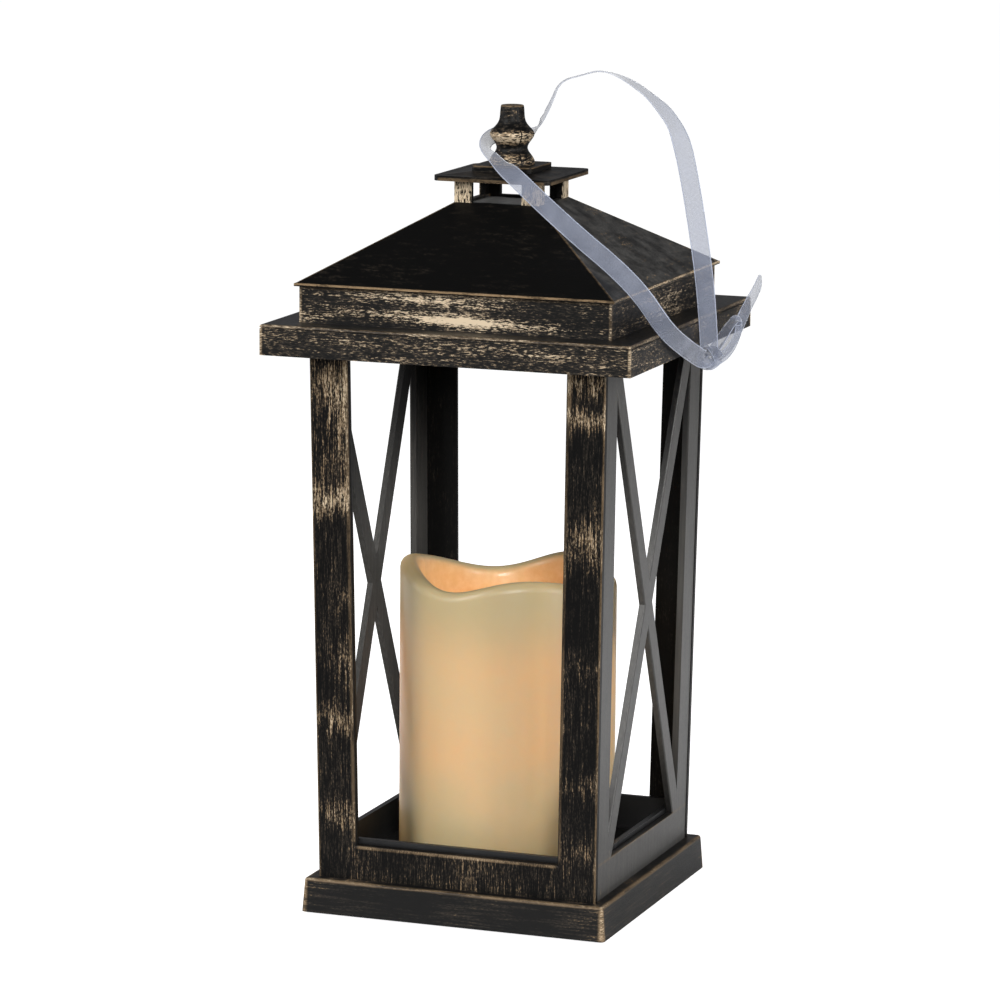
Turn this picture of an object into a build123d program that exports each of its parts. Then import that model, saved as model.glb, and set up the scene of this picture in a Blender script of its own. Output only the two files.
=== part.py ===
"""Candle lantern with a battery candle.

A square plinth carries a body of two flat frames and two X-braced side panels, slightly wider at
the top. A cornice, a skirt, a low hipped roof, an open cupola, a cap and a turned finial stand on
it. The candle, its battery box and its switch sit on the plinth. A ribbon hangs from the finial.

Front is -Y, right is +X and up is +Z. The origin is the middle of the foot, on the table.
All sizes are in millimetres.
"""
import math
import os

from build123d import *

os.makedirs("parts", exist_ok=True)

# Plinth and what closes it from below
FEET_LIFT = 0.8
PLINTH_STEP = 4.03
PLINTH_FLARE = 0.8
PLINTH_HEIGHT = 12.0
PLINTH_WALL = 2.0
PLINTH_CORNER = 1.5
PLINTH_EDGE = 1.0
COVER_THICKNESS = 2.0
COVER_RECESS = 0.4
COVER_GAP = 0.3
FOOT_RADIUS = 5.0
FOOT_INSET = 8.0

# Body: two frames and two side panels that lean outwards
BODY_FOOT = 101.74
BODY_LEAN = 2.71
BODY_HEIGHT = 184.6
FRAME_THICKNESS = 2.35
POST_WIDTH = 14.2
RAIL_HEIGHT = 12.5
HEAD_RAIL = 9.5
FRAME_EDGE = 0.45
OPENING_EDGE = 1.4
PANEL_THICKNESS = 2.35
PANEL_INSET = 0.25
PANEL_GAP = 0.1
STILE_WIDTH = 13.5
BRACE_WIDTH = 7.2
BRACE_EDGE = 0.6

# Tray inside the foot of the body
TRAY_FLOOR = 2.0
TRAY_WALL = 1.8
TRAY_HEIGHT = 14.2
TRAY_GAP = 0.2

# Cornice, skirt and roof
CORNICE_OVERHANG = 12.92
CORNICE_HEIGHT = 10.6
CORNICE_WALL = 2.0
CORNICE_PLATE = 2.0
CORNICE_SHELF = 2.1
CORNICE_EDGE = 0.8
GROOVE_DEPTH = 0.3
GROOVE_HEIGHT = 0.4
GROOVE_DROP = 1.0
RIB_THICKNESS = 1.5
RIB_DEPTH = 3.0
SKIRT_STEP = 2.57
SKIRT_HEIGHT = 12.4
SKIRT_WALL = 2.0
SKIRT_BOSS = 3.2
SKIRT_BOSS_HEIGHT = 10.0
SKIRT_WEB = 2.0
EAVE_LIP = 1.45
EAVE_HEIGHT = 1.0
ROOF_SETBACK = 0.3
ROOF_TOP = 30.8
ROOF_RISE = 25.2
ROOF_SHELL = 4.0
ROOF_CROWN = 3.0
VENT_BORDER = 2.4
VENT_THICKNESS = 0.8
VENT_DROP = 0.9
VENT_LEDGE = 1.5
VENT_GAP = 0.2

# Cupola, cap and finial
CUPOLA_HEIGHT = 7.8
CUPOLA_LEG = 6.2
CUPOLA_WALL = 2.2
CUPOLA_RING = 0.8
CAP_OVERHANG = 6.0
CAP_CORNER = 3.0
CAP_THICKNESS = 1.8
CAP_CAMBER = 0.8
CAP_BORDER = 0.4
FINIAL_BASE = 22.2
FINIAL_BASE_CORNER = 2.0
FINIAL_BASE_HEIGHT = 2.0
FINIAL_TOP_EDGE = 0.4
# Radius and height of the turned outline, from the flare to the tip
FINIAL_OUTLINE = [
    (7.9, 0.0),
    (6.85, 3.0),
    (5.4, 5.6),
    (6.4, 7.9),
    (7.7, 10.4),
    (5.6, 13.4),
    (4.6, 15.1),
    (4.27, 16.9),
    (3.9, 20.4),
]

# Candle and its light
CANDLE_DIAMETER = 76.2
CANDLE_HEIGHT = 101.1
CANDLE_WALL = 2.6
RIM_WIDTH = 6.6
CUP_DEPTH = 19.0
CUP_FLOOR = 5.0
RIM_EDGE = 3.0
RIM_FLAT = 0.6
FOOT_NOTCH_GAP = 0.25
RING_WALL = 1.2
RING_HEIGHT = 6.0
RING_GAP = 0.1
RING_BOSS = 3.0
RING_BOSS_INSET = 0.7
LED_TUBE = 4.0
LED_TUBE_WALL = 1.0
LED_RADIUS = 2.5
LED_HEIGHT = 7.6
LED_FLANGE = 1.0
LED_GAP = 0.1
LED_HEADROOM = 4.4
LEAD_SIDE = 0.5
LEAD_SPACING = 2.54

# Two cells side by side in a box that is open below
CELL_RADIUS = 7.1
CELL_LENGTH = 49.0
NUB_RADIUS = 2.75
NUB_LENGTH = 1.0
CELL_GAP = 0.4
CELL_SIDE_GAP = 0.6
CELL_LIFT = 0.7
BOX_WALL = 1.5
BOX_PASS = 0.5
BOX_FLANGE = 4.0
BOX_FLANGE_WIDTH = 12.0
BOX_FLANGE_THICKNESS = 2.0
SPRING_LENGTH = 5.2
SPRING_FOOT = 4.0
SPRING_TIP = 2.4
SPRING_WIRE = 0.5
CONTACT_THICKNESS = 0.4
CONTACT_WIDTH = 9.0
CONTACT_HEIGHT = 11.0
TAIL_WIDTH = 2.0
TAIL_RISE = 0.8
TAIL_SLOT_GAP = 0.15

# Battery door with two hooks at its hinge end and a latch tongue at the other
DOOR_GAP = 0.3
HOOK_WIDTH = 3.0
HOOK_PLACE = 11.0
HOOK_THICKNESS = 0.9
HOOK_REACH = 1.3
HOOK_ROOT = 1.0
HOOK_LIFT = 0.2
HOOK_SLOT_GAP = 0.4
LATCH_WIDTH = 8.0
LATCH_HEIGHT = 2.0
LATCH_THICKNESS = 0.9
FINGER_RADIUS = 6.0
FINGER_DEPTH = 0.8

# Circuit board, switch and wires
BOARD_STANDOFF = 1.0
STANDOFF_RADIUS = 1.5
STANDOFF_INSET = 4.0
BOARD_THICKNESS = 1.6
BOARD_MARGIN = 0.5
SWITCH_CLEARANCE = 4.0
SWITCH_TRAVEL = 2.5
SWITCH_GAP = 0.3
SWITCH_WALL = 0.9
SWITCH_HEIGHT = 5.2
KNOB_LENGTH = 3.0
KNOB_WIDTH = 2.4
KNOB_FLANGE = 1.1
KNOB_FLANGE_HEIGHT = 1.6
KNOB_FLANGE_LIFT = 0.4
KNOB_PROUD = 0.6
WIRE_DIAMETER = 1.2
WIRE_SPACING = 4.0
WIRE_BEND = 3.0
WIRE_RISE = 4.2
WIRE_HOLE = 3.3
WIRE_LANDING = 2.0

# Screws
SCREW_SHANK = 1.25
SCREW_HEAD = 2.4
SCREW_HEAD_HEIGHT = 1.2
SCREW_HOLE_GAP = 0.05
SCREW_PASS_GAP = 0.35
CROSS_LENGTH = 2.6
CROSS_WIDTH = 0.6
CROSS_DEPTH = 0.7
BASE_BOSS = 3.6
BASE_BOSS_INSET = 3.3
BASE_TIP_GAP = 1.6
CANDLE_TIP_GAP = 1.5
ROOF_HEAD_GAP = 0.46
ROOF_TIP_GAP = 2.0
FINIAL_SCREW_GRIP = 6.9

# Ribbon: a flat band of sheer fabric, drawn as a thin tube along its middle
RIBBON_TUBE = 2.0
KNOT_SIZE = (7.0, 6.4, 8.6)
KNOT_CENTRE = (71.6, 4.6, 194.9)
TAIL_TUBE = 1.8
# From behind the finial round its left side, down over the cap, the eave and the cornice to the
# knot, then up and over in a free arch, back to the finial
RIBBON_ROUTE = [
    (4.5, 8.8, 269.4),
    (-4.5, 9.6, 268.8),
    (-11.0, 3.5, 267.6),
    (-9.6, -6.2, 265.4),
    (-2.6, -14.8, 262.6),
    (7.2, -22.4, 259.6),
    (20.0, -27.2, 252.6),
    (36.0, -30.4, 241.2),
    (52.0, -33.4, 231.4),
    (64.2, -34.6, 220.6),
    (70.4, -29.6, 208.2),
    (73.2, -18.6, 200.6),
    (73.6, -8.0, 197.0),
    (73.0, 0.6, 194.8),
    (72.2, 6.6, 197.6),
    (72.0, 8.0, 205.6),
    (71.8, 6.8, 218.4),
    (69.6, 5.2, 236.4),
    (65.4, 4.6, 256.4),
    (59.0, 4.1, 273.4),
    (49.2, 3.4, 286.2),
    (36.8, 2.6, 293.4),
    (24.6, 1.8, 292.4),
    (16.6, 1.6, 284.6),
    (12.6, 3.4, 276.4),
    (8.0, 8.0, 271.2),
]
LONG_TAIL_ROUTE = [
    (72.4, 9.4, 194.4),
    (72.8, 18.6, 195.8),
    (73.0, 32.0, 201.0),
    (73.0, 44.0, 207.2),
    (72.6, 54.0, 214.8),
]
SHORT_TAIL_ROUTE = [
    (74.4, 9.0, 193.6),
    (75.6, 16.0, 197.2),
    (76.0, 26.0, 203.4),
]

# Widths worked out from the sizes above
plinth_top = BODY_FOOT + 2 * PLINTH_STEP
plinth_foot = plinth_top + 2 * PLINTH_FLARE
plinth_inner = plinth_top - 2 * PLINTH_WALL
body_head = BODY_FOOT + 2 * BODY_LEAN
wall_depth = max(FRAME_THICKNESS, PANEL_INSET + PANEL_THICKNESS)
cornice_width = body_head + 2 * CORNICE_OVERHANG
skirt_width = body_head + 2 * SKIRT_STEP
eave_width = skirt_width + 2 * EAVE_LIP
roof_foot = eave_width - 2 * ROOF_SETBACK
vent_width = ROOF_TOP - 2 * VENT_BORDER
cap_width = ROOF_TOP + 2 * CAP_OVERHANG
cup_diameter = CANDLE_DIAMETER - 2 * RIM_WIDTH
base_screw_place = plinth_inner / 2 - BASE_BOSS - BASE_BOSS_INSET
foot_place = base_screw_place - FOOT_INSET

# Heights
plinth_low = FEET_LIFT
plinth_high = plinth_low + PLINTH_HEIGHT
plate_low = plinth_high - PLINTH_WALL
cover_low = plinth_low + COVER_RECESS
cover_high = cover_low + COVER_THICKNESS
tray_top = plinth_high + TRAY_FLOOR
rail_top = plinth_high + RAIL_HEIGHT
cornice_low = plinth_high + BODY_HEIGHT
cornice_high = cornice_low + CORNICE_HEIGHT
frame_high = cornice_high - CORNICE_PLATE
opening_high = frame_high - HEAD_RAIL
skirt_high = cornice_high + SKIRT_HEIGHT
eave_high = skirt_high + EAVE_HEIGHT
roof_high = eave_high + ROOF_RISE
vent_high = roof_high - VENT_DROP
vent_low = vent_high - VENT_THICKNESS
cupola_high = roof_high + CUPOLA_HEIGHT
cap_high = cupola_high + CAP_THICKNESS
camber_high = cap_high + CAP_CAMBER
finial_low = camber_high + FINIAL_BASE_HEIGHT

candle_high = tray_top + CANDLE_HEIGHT
cup_low = candle_high - CUP_DEPTH
bore_high = cup_low - CUP_FLOOR
bore_radius = CANDLE_DIAMETER / 2 - CANDLE_WALL
ring_radius = bore_radius - RING_GAP
ring_screw_place = ring_radius - RING_WALL - RING_BOSS - RING_BOSS_INSET
led_base = bore_high - LED_HEADROOM - LED_HEIGHT

cell_place = CELL_RADIUS + CELL_GAP / 2
cell_height = cover_high + CELL_LIFT + CELL_RADIUS
box_end = (CELL_LENGTH + NUB_LENGTH + SPRING_LENGTH) / 2 + CONTACT_THICKNESS
box_side = 2 * CELL_RADIUS + CELL_GAP / 2 + CELL_SIDE_GAP
box_ceiling = cell_height + CELL_RADIUS + CELL_SIDE_GAP
box_high = box_ceiling + BOX_WALL
board_low = box_high + BOARD_STANDOFF
board_high = board_low + BOARD_THICKNESS
board_end = box_end + BOX_WALL - BOARD_MARGIN
board_side = box_side + BOX_WALL - BOARD_MARGIN
contact_place = box_end - CONTACT_THICKNESS / 2
tail_high = board_high + TAIL_RISE

switch_length = KNOB_LENGTH + 2 * (KNOB_FLANGE + SWITCH_TRAVEL + SWITCH_GAP)
switch_width = KNOB_WIDTH + 2 * (KNOB_FLANGE + SWITCH_GAP)
switch_place = box_side + BOX_WALL + SWITCH_CLEARANCE + SWITCH_WALL + switch_width / 2
switch_high = cover_high + SWITCH_HEIGHT
flange_low = cover_high + KNOB_FLANGE_LIFT
flange_high = flange_low + KNOB_FLANGE_HEIGHT


def body_half(z):
    """Half the body's width at height z."""
    share = (z - plinth_high) / BODY_HEIGHT
    return BODY_FOOT / 2 + BODY_LEAN * share


rib_low = frame_high - RIB_DEPTH
rib_width = 2 * (body_half(rib_low) - wall_depth - TRAY_GAP)
roof_screw_place = rib_width / 2 - RIB_THICKNESS - SCREW_HEAD - ROOF_HEAD_GAP
cornice_opening = 2 * (roof_screw_place - SCREW_HEAD - CORNICE_SHELF)
base_screw_length = plate_low - cover_low - SCREW_HEAD_HEIGHT - BASE_TIP_GAP
candle_screw_length = PLINTH_WALL + TRAY_FLOOR + RING_HEIGHT - CANDLE_TIP_GAP
roof_screw_length = CORNICE_PLATE + SKIRT_BOSS_HEIGHT - ROOF_TIP_GAP
finial_screw_length = CAP_THICKNESS + CAP_CAMBER + FINIAL_BASE_HEIGHT + FINIAL_SCREW_GRIP


def block(x, y, z):
    """Box between two limits on each axis."""
    sizes = [high - low for low, high in (x, y, z)]
    middles = [(high + low) / 2 for low, high in (x, y, z)]
    return Pos(*middles) * Box(*sizes)


def span(middle, length):
    """Limits of a length centred on a place."""
    return middle - length / 2, middle + length / 2


def rod(radius, low, high, x=0.0, y=0.0):
    """Upright cylinder between two heights."""
    return Pos(x, y, (low + high) / 2) * Cylinder(radius, high - low)


def square(width, low, high, corner=0.0):
    """Square plate between two heights, with rounded corners if asked."""
    outline = RectangleRounded(width, width, corner) if corner else Rectangle(width, width)
    return Pos(0, 0, low) * extrude(outline, high - low)


def frustum(low_width, high_width, low, high):
    """Square frustum with four flat sides."""
    a, b = low_width / 2, high_width / 2
    outline = Polygon((-a, low), (a, low), (b, high), (-b, high), align=None)
    reach = max(low_width, high_width)
    return extrude(Plane.XZ * outline, reach, both=True) & extrude(Plane.YZ * outline, reach, both=True)


def corners(place):
    """The four points at plus and minus one place."""
    return [(x, y) for x in (-place, place) for y in (-place, place)]


def upright_edges(part):
    return [edge for edge in part.edges() if abs(edge.tangent_at(0.5).Z) > 0.9]


def edges_at(part, height):
    return [e for e in part.edges() if all(abs(v.Z - height) < 1e-4 for v in e.vertices())]


def screw(length, low, x=0.0, y=0.0):
    """Cross-head screw driven upwards, whose head's outer face is at height low."""
    head = rod(SCREW_HEAD, 0, SCREW_HEAD_HEIGHT)
    shank = rod(SCREW_SHANK, SCREW_HEAD_HEIGHT, SCREW_HEAD_HEIGHT + length)
    recess = block(span(0, CROSS_LENGTH), span(0, CROSS_WIDTH), (0, CROSS_DEPTH))
    recess += block(span(0, CROSS_WIDTH), span(0, CROSS_LENGTH), (0, CROSS_DEPTH))
    return Pos(x, y, low) * (head + shank - recess)


def hole_for(radius, low, high, x=0.0, y=0.0):
    """Clearance hole for a screw's shank."""
    return rod(radius + SCREW_PASS_GAP, low, high, x, y)


def pilot_for(radius, low, high, x=0.0, y=0.0):
    """Hole that a screw's shank fills, less a hair."""
    return rod(radius + SCREW_HOLE_GAP, low, high, x, y)


def box_pass(low, high, gap=BOX_PASS):
    """Room that the battery box goes through."""
    reach_x = box_end + BOX_WALL + gap
    reach_y = box_side + BOX_WALL + gap
    return block((-reach_x, reach_x), (-reach_y, reach_y), (low, high))


def foot_notch():
    """Room for the battery box and board, where either stands wider than the candle's bore."""
    return box_pass(tray_top, board_high + FOOT_NOTCH_GAP, FOOT_NOTCH_GAP)


# Plinth group

def make_plinth():
    """Square step, hollow from below, with four screw bosses."""
    shell = frustum(plinth_foot, plinth_top, plinth_low, plinth_high)
    shell = fillet(upright_edges(shell), PLINTH_CORNER)
    shell = fillet(edges_at(shell, plinth_high), PLINTH_EDGE)
    shell -= square(plinth_inner, plinth_low, plate_low)
    for x, y in corners(base_screw_place):
        shell += rod(BASE_BOSS, cover_high, plate_low, x, y)
        shell -= pilot_for(SCREW_SHANK, cover_high, plate_low, x, y)
    shell -= box_pass(plate_low, plinth_high)
    for y in (-ring_screw_place, ring_screw_place):
        shell -= hole_for(SCREW_SHANK, plate_low, plinth_high, 0, y)
    shell -= rod(WIRE_HOLE, plate_low, plinth_high, 0, switch_place)
    return shell


def make_base_cover():
    """Plate that closes the plinth, with the battery opening and the switch slot."""
    cover = square(plinth_inner - 2 * COVER_GAP, cover_low, cover_high)
    cover -= block((-box_end, box_end), (-box_side, box_side), (cover_low, cover_high))
    slot_x = KNOB_LENGTH + 2 * SWITCH_TRAVEL + 2 * SWITCH_GAP
    slot_y = KNOB_WIDTH + 2 * SWITCH_GAP
    cover -= block(span(0, slot_x), span(switch_place, slot_y), (cover_low, cover_high))
    for x, y in corners(base_screw_place):
        cover -= hole_for(SCREW_SHANK, cover_low, cover_high, x, y)
        cover -= rod(SCREW_HEAD + COVER_GAP, cover_low, cover_low + SCREW_HEAD_HEIGHT, x, y)
    return cover


def make_rubber_feet():
    return [rod(FOOT_RADIUS, 0, cover_low, x, y) for x, y in corners(foot_place)]


def make_base_screws():
    return [screw(base_screw_length, cover_low, x, y) for x, y in corners(base_screw_place)]


def make_floor_tray():
    """Tray inside the foot of the body, with a low wall behind the rails."""
    width = 2 * (body_half(plinth_high) - wall_depth - TRAY_GAP)
    tray = square(width, plinth_high, plinth_high + TRAY_HEIGHT)
    tray -= square(width - 2 * TRAY_WALL, tray_top, plinth_high + TRAY_HEIGHT)
    tray -= box_pass(plinth_high, tray_top)
    for y in (-ring_screw_place, ring_screw_place):
        tray -= hole_for(SCREW_SHANK, plinth_high, tray_top, 0, y)
    tray -= rod(WIRE_HOLE, plinth_high, tray_top, 0, switch_place)
    return tray


# Battery group

def make_battery_box():
    """Box over the two cells, open below, with end flanges under the plinth's top plate."""
    outer_x, outer_y = box_end + BOX_WALL, box_side + BOX_WALL
    box = block((-outer_x, outer_x), (-outer_y, outer_y), (cover_high, box_high))
    flange_x = outer_x + BOX_FLANGE
    box += block(
        (-flange_x, flange_x), span(0, BOX_FLANGE_WIDTH), (plate_low - BOX_FLANGE_THICKNESS, plate_low)
    )
    box -= block((-box_end, box_end), (-box_side, box_side), (cover_high, box_ceiling))
    for x in (STANDOFF_INSET - board_end, board_end - STANDOFF_INSET):
        for y in (STANDOFF_INSET - board_side, board_side - STANDOFF_INSET):
            box += rod(STANDOFF_RADIUS, box_high, board_low, x, y)
    for y in (-HOOK_PLACE, HOOK_PLACE):
        swing = math.hypot(HOOK_REACH, COVER_THICKNESS + HOOK_LIFT + HOOK_THICKNESS)
        slot_high = cover_low + swing + HOOK_SLOT_GAP
        slot_y = HOOK_WIDTH + 2 * HOOK_SLOT_GAP
        box -= block((-outer_x, -box_end), span(y, slot_y), (cover_high, slot_high))
    return box - tail_slots(box_ceiling, box_high)


def tail_slots(low, high):
    """Slots that the two contact tails go through."""
    slots = []
    for y in (-cell_place, cell_place):
        across = CONTACT_THICKNESS + 2 * TAIL_SLOT_GAP
        along = TAIL_WIDTH + 2 * TAIL_SLOT_GAP
        slots.append(block(span(contact_place, across), span(y, along), (low, high)))
    return slots


def make_battery_door():
    """Flush door with a finger recess, two hooks at the hinge end and a latch tongue."""
    end, side = box_end - DOOR_GAP, box_side - DOOR_GAP
    door = block((-end, end), (-side, side), (cover_low, cover_high))
    door -= rod(FINGER_RADIUS, cover_low, cover_low + FINGER_DEPTH, end, 0)
    hook_low = cover_high + HOOK_LIFT
    hook_high = hook_low + HOOK_THICKNESS
    for y in (-HOOK_PLACE, HOOK_PLACE):
        across = span(y, HOOK_WIDTH)
        door += block((-end, HOOK_ROOT - end), across, (cover_high, hook_high))
        door += block((-hook_pivot() - HOOK_REACH, -end), across, (hook_low, hook_high))
    latch = block((end - LATCH_THICKNESS, end), span(0, LATCH_WIDTH), (cover_high, cover_high + LATCH_HEIGHT))
    door += latch
    return door


def hook_pivot():
    """How far from the middle the door's hinge line lies."""
    return box_end - DOOR_GAP / 3


def make_batteries():
    """Two round cells lying side by side, nose to tail."""
    length = CELL_LENGTH + NUB_LENGTH
    cell = rod(CELL_RADIUS, 0, CELL_LENGTH) + rod(NUB_RADIUS, CELL_LENGTH, length)
    start = contact_place - CONTACT_THICKNESS / 2 - length
    front = Pos(start, -cell_place, cell_height) * Rot(0, 90, 0) * cell
    back = Pos(-start, cell_place, cell_height) * Rot(0, -90, 0) * cell
    return [front, back]


def make_contact_springs():
    """Two conical springs, each drawn as the cone that its turns fill."""
    outline = Polygon(
        (SPRING_FOOT - SPRING_WIRE, 0),
        (SPRING_FOOT, 0),
        (SPRING_TIP, SPRING_LENGTH),
        (SPRING_TIP - SPRING_WIRE, SPRING_LENGTH),
        align=None,
    )
    cone = revolve(Plane.XZ * outline, Axis.Z)
    face = contact_place - CONTACT_THICKNESS / 2
    front = Pos(-face, -cell_place, cell_height) * Rot(0, 90, 0) * cone
    back = Pos(face, cell_place, cell_height) * Rot(0, -90, 0) * cone
    return [front, back]


def make_contact_plates():
    """A bridge plate at the left end and two plates with tails at the right end."""
    height = span(cell_height, CONTACT_HEIGHT)
    bridge_y = span(0, 2 * cell_place + CONTACT_WIDTH)
    plates = [block(span(-contact_place, CONTACT_THICKNESS), bridge_y, height)]
    for y in (-cell_place, cell_place):
        plate = block(span(contact_place, CONTACT_THICKNESS), span(y, CONTACT_WIDTH), height)
        tail = block(span(contact_place, CONTACT_THICKNESS), span(y, TAIL_WIDTH), (cell_height, tail_high))
        plates.append(plate + tail)
    return plates


def make_circuit_board():
    board = block((-board_end, board_end), (-board_side, board_side), (board_low, board_high))
    return board - tail_slots(board_low, board_high)


def make_switch_body():
    """Small slide-switch case standing on the cover over its slot."""
    outer_x, outer_y = switch_length + 2 * SWITCH_WALL, switch_width + 2 * SWITCH_WALL
    case = block(span(0, outer_x), span(switch_place, outer_y), (cover_high, switch_high))
    room = (cover_high, flange_high + SWITCH_GAP)
    return case - block(span(0, switch_length), span(switch_place, switch_width), room)


def make_switch_knob():
    """Slider with a flange inside the case and a finger nub below the cover."""
    stem = block(
        span(0, KNOB_LENGTH), span(switch_place, KNOB_WIDTH), (cover_low - KNOB_PROUD, flange_low)
    )
    flange_x, flange_y = KNOB_LENGTH + 2 * KNOB_FLANGE, KNOB_WIDTH + 2 * KNOB_FLANGE
    return stem + block(span(0, flange_x), span(switch_place, flange_y), (flange_low, flange_high))


def make_wires():
    """Two wires from the switch up through the floor and over to the board."""
    wires = []
    top = board_high + WIRE_RISE
    landing = board_side - WIRE_LANDING
    for x in (-WIRE_SPACING / 2, WIRE_SPACING / 2):
        path = FilletPolyline(
            (x, switch_place, switch_high), (x, switch_place, top), (x, landing, top), (x, landing, board_high),
            radius=WIRE_BEND,
        )
        section = Plane(origin=path @ 0, z_dir=path % 0) * Circle(WIRE_DIAMETER / 2)
        wires.append(sweep(section, path=path))
    return wires


# Candle group

def make_candle_base_ring():
    """Ring with two screw bosses that the candle shell fits over."""
    ring = rod(ring_radius, tray_top, tray_top + RING_HEIGHT)
    ring -= rod(ring_radius - RING_WALL, tray_top, tray_top + RING_HEIGHT)
    for side in (-1, 1):
        y = side * ring_screw_place
        web = span(0, RING_BOSS), sorted((y, side * (ring_radius - RING_WALL / 2)))
        ring += rod(RING_BOSS, tray_top, tray_top + RING_HEIGHT, 0, y)
        ring += block(*web, (tray_top, tray_top + RING_HEIGHT))
        ring -= pilot_for(SCREW_SHANK, tray_top, tray_top + RING_HEIGHT, 0, y)
    return ring - foot_notch()


def make_candle_screws():
    low = plate_low - SCREW_HEAD_HEIGHT
    return [screw(candle_screw_length, low, 0, y) for y in (-ring_screw_place, ring_screw_place)]


def make_candle_shell():
    """Wax shell, hollow from below, with a shallow cup in its top and a thick rounded rim."""
    shell = rod(CANDLE_DIAMETER / 2, tray_top, candle_high)
    shell -= rod(cup_diameter / 2, cup_low, candle_high)
    edge = min(RIM_EDGE, (RIM_WIDTH - RIM_FLAT) / 2)
    shell = fillet(edges_at(shell, candle_high), edge)
    shell = fillet(edges_at(shell, cup_low), edge)
    shell -= rod(bore_radius, tray_top, bore_high)
    return shell - foot_notch()


def make_led_holder():
    tube = rod(LED_TUBE, board_high, led_base)
    return tube - rod(LED_TUBE - LED_TUBE_WALL, board_high, led_base)


def make_led_bulb():
    """Round lamp with a flange and two square leads down to the board."""
    bore = LED_TUBE - LED_TUBE_WALL
    bulb = rod(bore - LED_GAP, led_base - LED_FLANGE, led_base)
    bulb += rod(LED_RADIUS, led_base, led_base + LED_HEIGHT - LED_RADIUS)
    bulb += Pos(0, 0, led_base + LED_HEIGHT - LED_RADIUS) * Sphere(LED_RADIUS)
    for x in (-LEAD_SPACING / 2, LEAD_SPACING / 2):
        bulb += block(span(x, LEAD_SIDE), span(0, LEAD_SIDE), (board_high, led_base))
    return bulb


# Body group: each side is drawn facing the front and turned to its place

def body_outline(margin, low, high):
    """Trapezium of the body's side, less a margin at each edge."""
    a, b = body_half(low) - margin, body_half(high) - margin
    return Polygon((-a, low), (a, low), (b, high), (-b, high), align=None)


def leaning_plate(outline, inset, thickness):
    """Plate with an outline drawn from the front, that leans out with the body's side."""
    faces = []
    for depth in (inset, inset + thickness):
        faces.append([(depth - body_half(z), z) for z in (plinth_high, frame_high)])
    profile = Polygon(*faces[0], *reversed(faces[1]), align=None)
    slab = extrude(Plane.YZ * profile, body_head, both=True)
    return extrude(Plane.XZ * outline, body_head, both=True) & slab


def outer_edges(part, inset, inner):
    """Edges of a plate's outer face: those round its openings, or its two upright outer ones."""
    found = []
    for edge in part.edges():
        middle = edge.position_at(0.5)
        on_face = abs(middle.Y + body_half(middle.Z) - inset) < 1e-3
        between = plinth_high + 1e-3 < middle.Z < frame_high - 1e-3
        at_side = abs(middle.X) > body_half(middle.Z) - min(POST_WIDTH, STILE_WIDTH) / 2
        if on_face and between and at_side != inner:
            found.append(edge)
    return found


def make_frame():
    """Flat frame that runs the body's full width, with rounded edges."""
    outline = body_outline(0, plinth_high, frame_high) - body_outline(POST_WIDTH, rail_top, opening_high)
    frame = leaning_plate(outline, 0, FRAME_THICKNESS)
    frame = fillet(outer_edges(frame, 0, True), OPENING_EDGE)
    return fillet(outer_edges(frame, 0, False), FRAME_EDGE)


def make_panel():
    """Side panel that stands between the two frames."""
    margin = FRAME_THICKNESS + PANEL_GAP
    outline = body_outline(margin, plinth_high, frame_high)
    outline -= body_outline(STILE_WIDTH, rail_top, opening_high)
    panel = leaning_plate(outline, PANEL_INSET, PANEL_THICKNESS)
    return panel


def make_cross():
    """Two crossed braces that fill a side opening from corner to corner."""
    low = body_half(rail_top) - STILE_WIDTH
    high = body_half(opening_high) - STILE_WIDTH
    start, end = Vector(-low, rail_top), Vector(high, opening_high)
    along = end - start
    turn = math.degrees(math.atan2(along.Y, along.X))
    middle = (start + end) / 2
    bar = Pos(middle.X, middle.Y) * Rot(0, 0, turn) * Rectangle(along.length * 1.2, BRACE_WIDTH)
    bars = bar + mirror(bar, about=Plane.YZ)
    cross = leaning_plate(bars & body_outline(STILE_WIDTH, rail_top, opening_high), PANEL_INSET, PANEL_THICKNESS)
    slanted = [e for e in outer_edges(cross, PANEL_INSET, True) if is_brace_side(e)]
    return fillet(slanted, BRACE_EDGE)


def is_brace_side(edge):
    """Whether an edge runs along a brace, rather than along the panel's opening."""
    low, high = body_half(rail_top) - STILE_WIDTH, body_half(opening_high) - STILE_WIDTH
    middle = edge.position_at(0.5)
    side = low + (high - low) * (middle.Z - rail_top) / (opening_high - rail_top)
    inside = abs(middle.X) < side - 1e-3
    return inside and rail_top + 1e-3 < middle.Z < opening_high - 1e-3


def turned(part, quarter_turns):
    return Rot(0, 0, 90 * quarter_turns) * part


# Roof group

def make_cornice():
    """Square band with a top plate, a fine groove and a rib that stands inside the frames."""
    band = square(cornice_width, cornice_low, cornice_high)
    band = fillet(edges_at(band, cornice_high), CORNICE_EDGE)
    groove_high = cornice_high - GROOVE_DROP
    groove = square(cornice_width + GROOVE_DEPTH, groove_high - GROOVE_HEIGHT, groove_high)
    groove -= square(cornice_width - 2 * GROOVE_DEPTH, groove_high - GROOVE_HEIGHT, groove_high)
    band -= groove
    band -= square(cornice_width - 2 * CORNICE_WALL, cornice_low, frame_high)
    band += square(rib_width, rib_low, frame_high) - square(rib_width - 2 * RIB_THICKNESS, rib_low, frame_high)
    band -= square(cornice_opening, frame_high, cornice_high)
    for x, y in corners(roof_screw_place):
        band -= hole_for(SCREW_SHANK, frame_high, cornice_high, x, y)
    return band


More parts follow.
